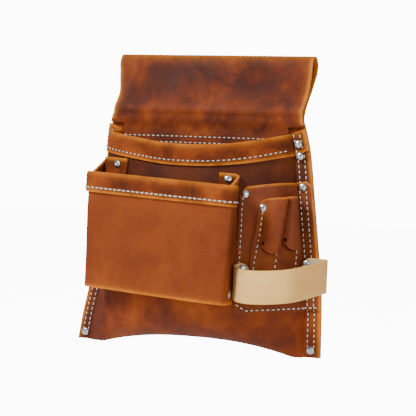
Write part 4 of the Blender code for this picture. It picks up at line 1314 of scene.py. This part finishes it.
for up in (1, -1):
    surfaceCap("plain", onTool, mix(*strap["leftX"], 0.52), strap["leftZ"] + up * rivets["tabSpacing"] / 2,
               tabLift, strap["thickness"] / 2)
for x, rise in ((box["foldX"][0] + 23, box["rearRise"][0]), (box["foldX"][1] - 9.5, box["rearRise"][1])):
    z = tilted(x, box["bottom"] + box["height"] + rise - rivets["drop"] + 0.5)
    surfaceCap("dimple", onFront, x, z, layer, halfHide)
surfaceCap("plain", onFront, tool["left"] + 4.9, tool["topZ"][0] - rivets["drop"], layer, halfHide)
surfaceCap("plain", onTool, sleeves["leftX"][1] + 3.4, sleeves["topZ"][0] - rivets["drop"], layer, halfHide)
cornerPlan = boxPlan(box["bottom"] + 0.72 * box["tab"])
for index in (5 * boxSteps, len(cornerPlan) - 1 - 5 * boxSteps):
    normal = planNormal(cornerPlan, index)
    caps["plain"].append((cornerPlan[index] + normal * (halfHide + rivets["proud"]), normal))

rivetNodes = {
    "plain": ["rivet_right_bottom", "rivet_left_bottom", "rivet_tool_right", "rivet_tab_right_upper",
              "rivet_tab_right_lower", "rivet_tab_left_upper", "rivet_tab_left_lower", "rivet_tool_left",
              "rivet_sleeve", "rivet_box_corner_left", "rivet_box_corner_right"],
    "dimple": ["rivet_right_upper", "rivet_right_top", "rivet_left_upper", "rivet_left_top", "rivet_box_left",
               "rivet_box_right"],
}


def setRivets(name, shape, places, seed, replaced):
    values = {"Shape": shape, "Main finish": nickelMaterial, "Hole shadow": holeShadowMaterial, "Sway": rivets["sway"],
              "Seed": seed}
    placeShapes(name, places, fixedTree, values, False, replaced)


setRivets("plainRivetCaps", plainCap, caps["plain"], rivets["seed"], rivetNodes["plain"])
setRivets("dimpleRivetCaps", dimpleCap, caps["dimple"], rivets["seed"], rivetNodes["dimple"])
setRivets("rolledRivetEnds", rolledEnd, ends, rivets["endSeed"], [])
print("rivets set:", len(caps["plain"] + caps["dimple"]))

# camera, light and floor
view = {
    "turn": 22, "rise": 0.6, "roll": 2.7, "distance": 1.7, "lens": 137.1, "aim": (5.1, 0, 150.3),
}
aim = toFrame @ Vector(view["aim"])
turn, rise = math.radians(view["turn"]), math.radians(view["rise"])
backward = Vector((math.sin(turn) * math.cos(rise), -math.cos(turn) * math.cos(rise), math.sin(rise)))
camera = intoScene("camera", bpy.data.cameras.new("camera"))
camera.data.lens = view["lens"]
camera.data.sensor_width = 36
camera.data.clip_end = 50
camera.location = aim + backward * view["distance"]
facingView = backward.to_track_quat("Z", "Y").to_matrix()
camera.rotation_euler = (facingView @ Matrix.Rotation(math.radians(view["roll"]), 3, "Z")).to_euler()
bpy.context.scene.camera = camera


lights = {    # each lamp's place, size and power, then the brightness of the surroundings
    "keyLight": ((-0.8, -1.6, 1.1), 0.6, 42),
    "fillLight": ((1.3, -1.6, -0.05), 1.2, 13),
    "backLight": ((0.3, 1.6, 1.3), 1.2, 10),
    "world": 0.42, "backdrop": 12, "floor": 11,
}
for name in ("keyLight", "fillLight", "backLight"):
    place, size, power = lights[name]
    lamp = bpy.data.lights.new(name, "AREA")
    lamp.shape = "DISK"
    lamp.size = size
    lamp.energy = power
    item = intoScene(name, lamp)
    item.location = place
    item.rotation_euler = (Vector(place) - aim).to_track_quat("Z", "Y").to_euler()

world = bpy.data.worlds.new("studio")
world.use_nodes = True
air = world.node_tree
# the surroundings look brighter than the light that they give
seen = newNode(air, "ShaderNodeLightPath", (-600, 0)).outputs["Is Camera Ray"]
strength = newNode(air, "ShaderNodeMapRange", (-300, 0),
                   {"Value": seen, "To Min": lights["world"], "To Max": lights["backdrop"]})
feed(air, air.nodes["Background"], {"Color": grey(1), "Strength": strength.outputs[0]})
bpy.context.scene.world = world


def studioFloor():
    low = toFrame @ Vector((0, 0, -110))
    sheet = bmesh.new()
    bmesh.ops.create_grid(sheet, x_segments=2, y_segments=2, size=14, matrix=Matrix.Translation(low))
    mesh = meshFrom("studioFloor", sheet)
    material, tree, shader, coords = newFinish("studioFloor")
    seen = newNode(tree, "ShaderNodeLightPath", (-600, -400)).outputs["Is Camera Ray"]
    feed(tree, shader, {
        "Base Color": rampNode(tree, noiseNode(tree, coords, 3, 2), [(0.3, grey(0.93)), (0.7, grey(0.95))]),
        "Roughness": 0.9, "Emission Color": grey(1),
        "Emission Strength": mathNode(tree, "MULTIPLY", seen, lights["floor"]),
    })
    mesh.materials.append(material)
    intoScene("studioFloor", mesh)


studioFloor()
bpy.context.view_layer.update()
print("scene ready")
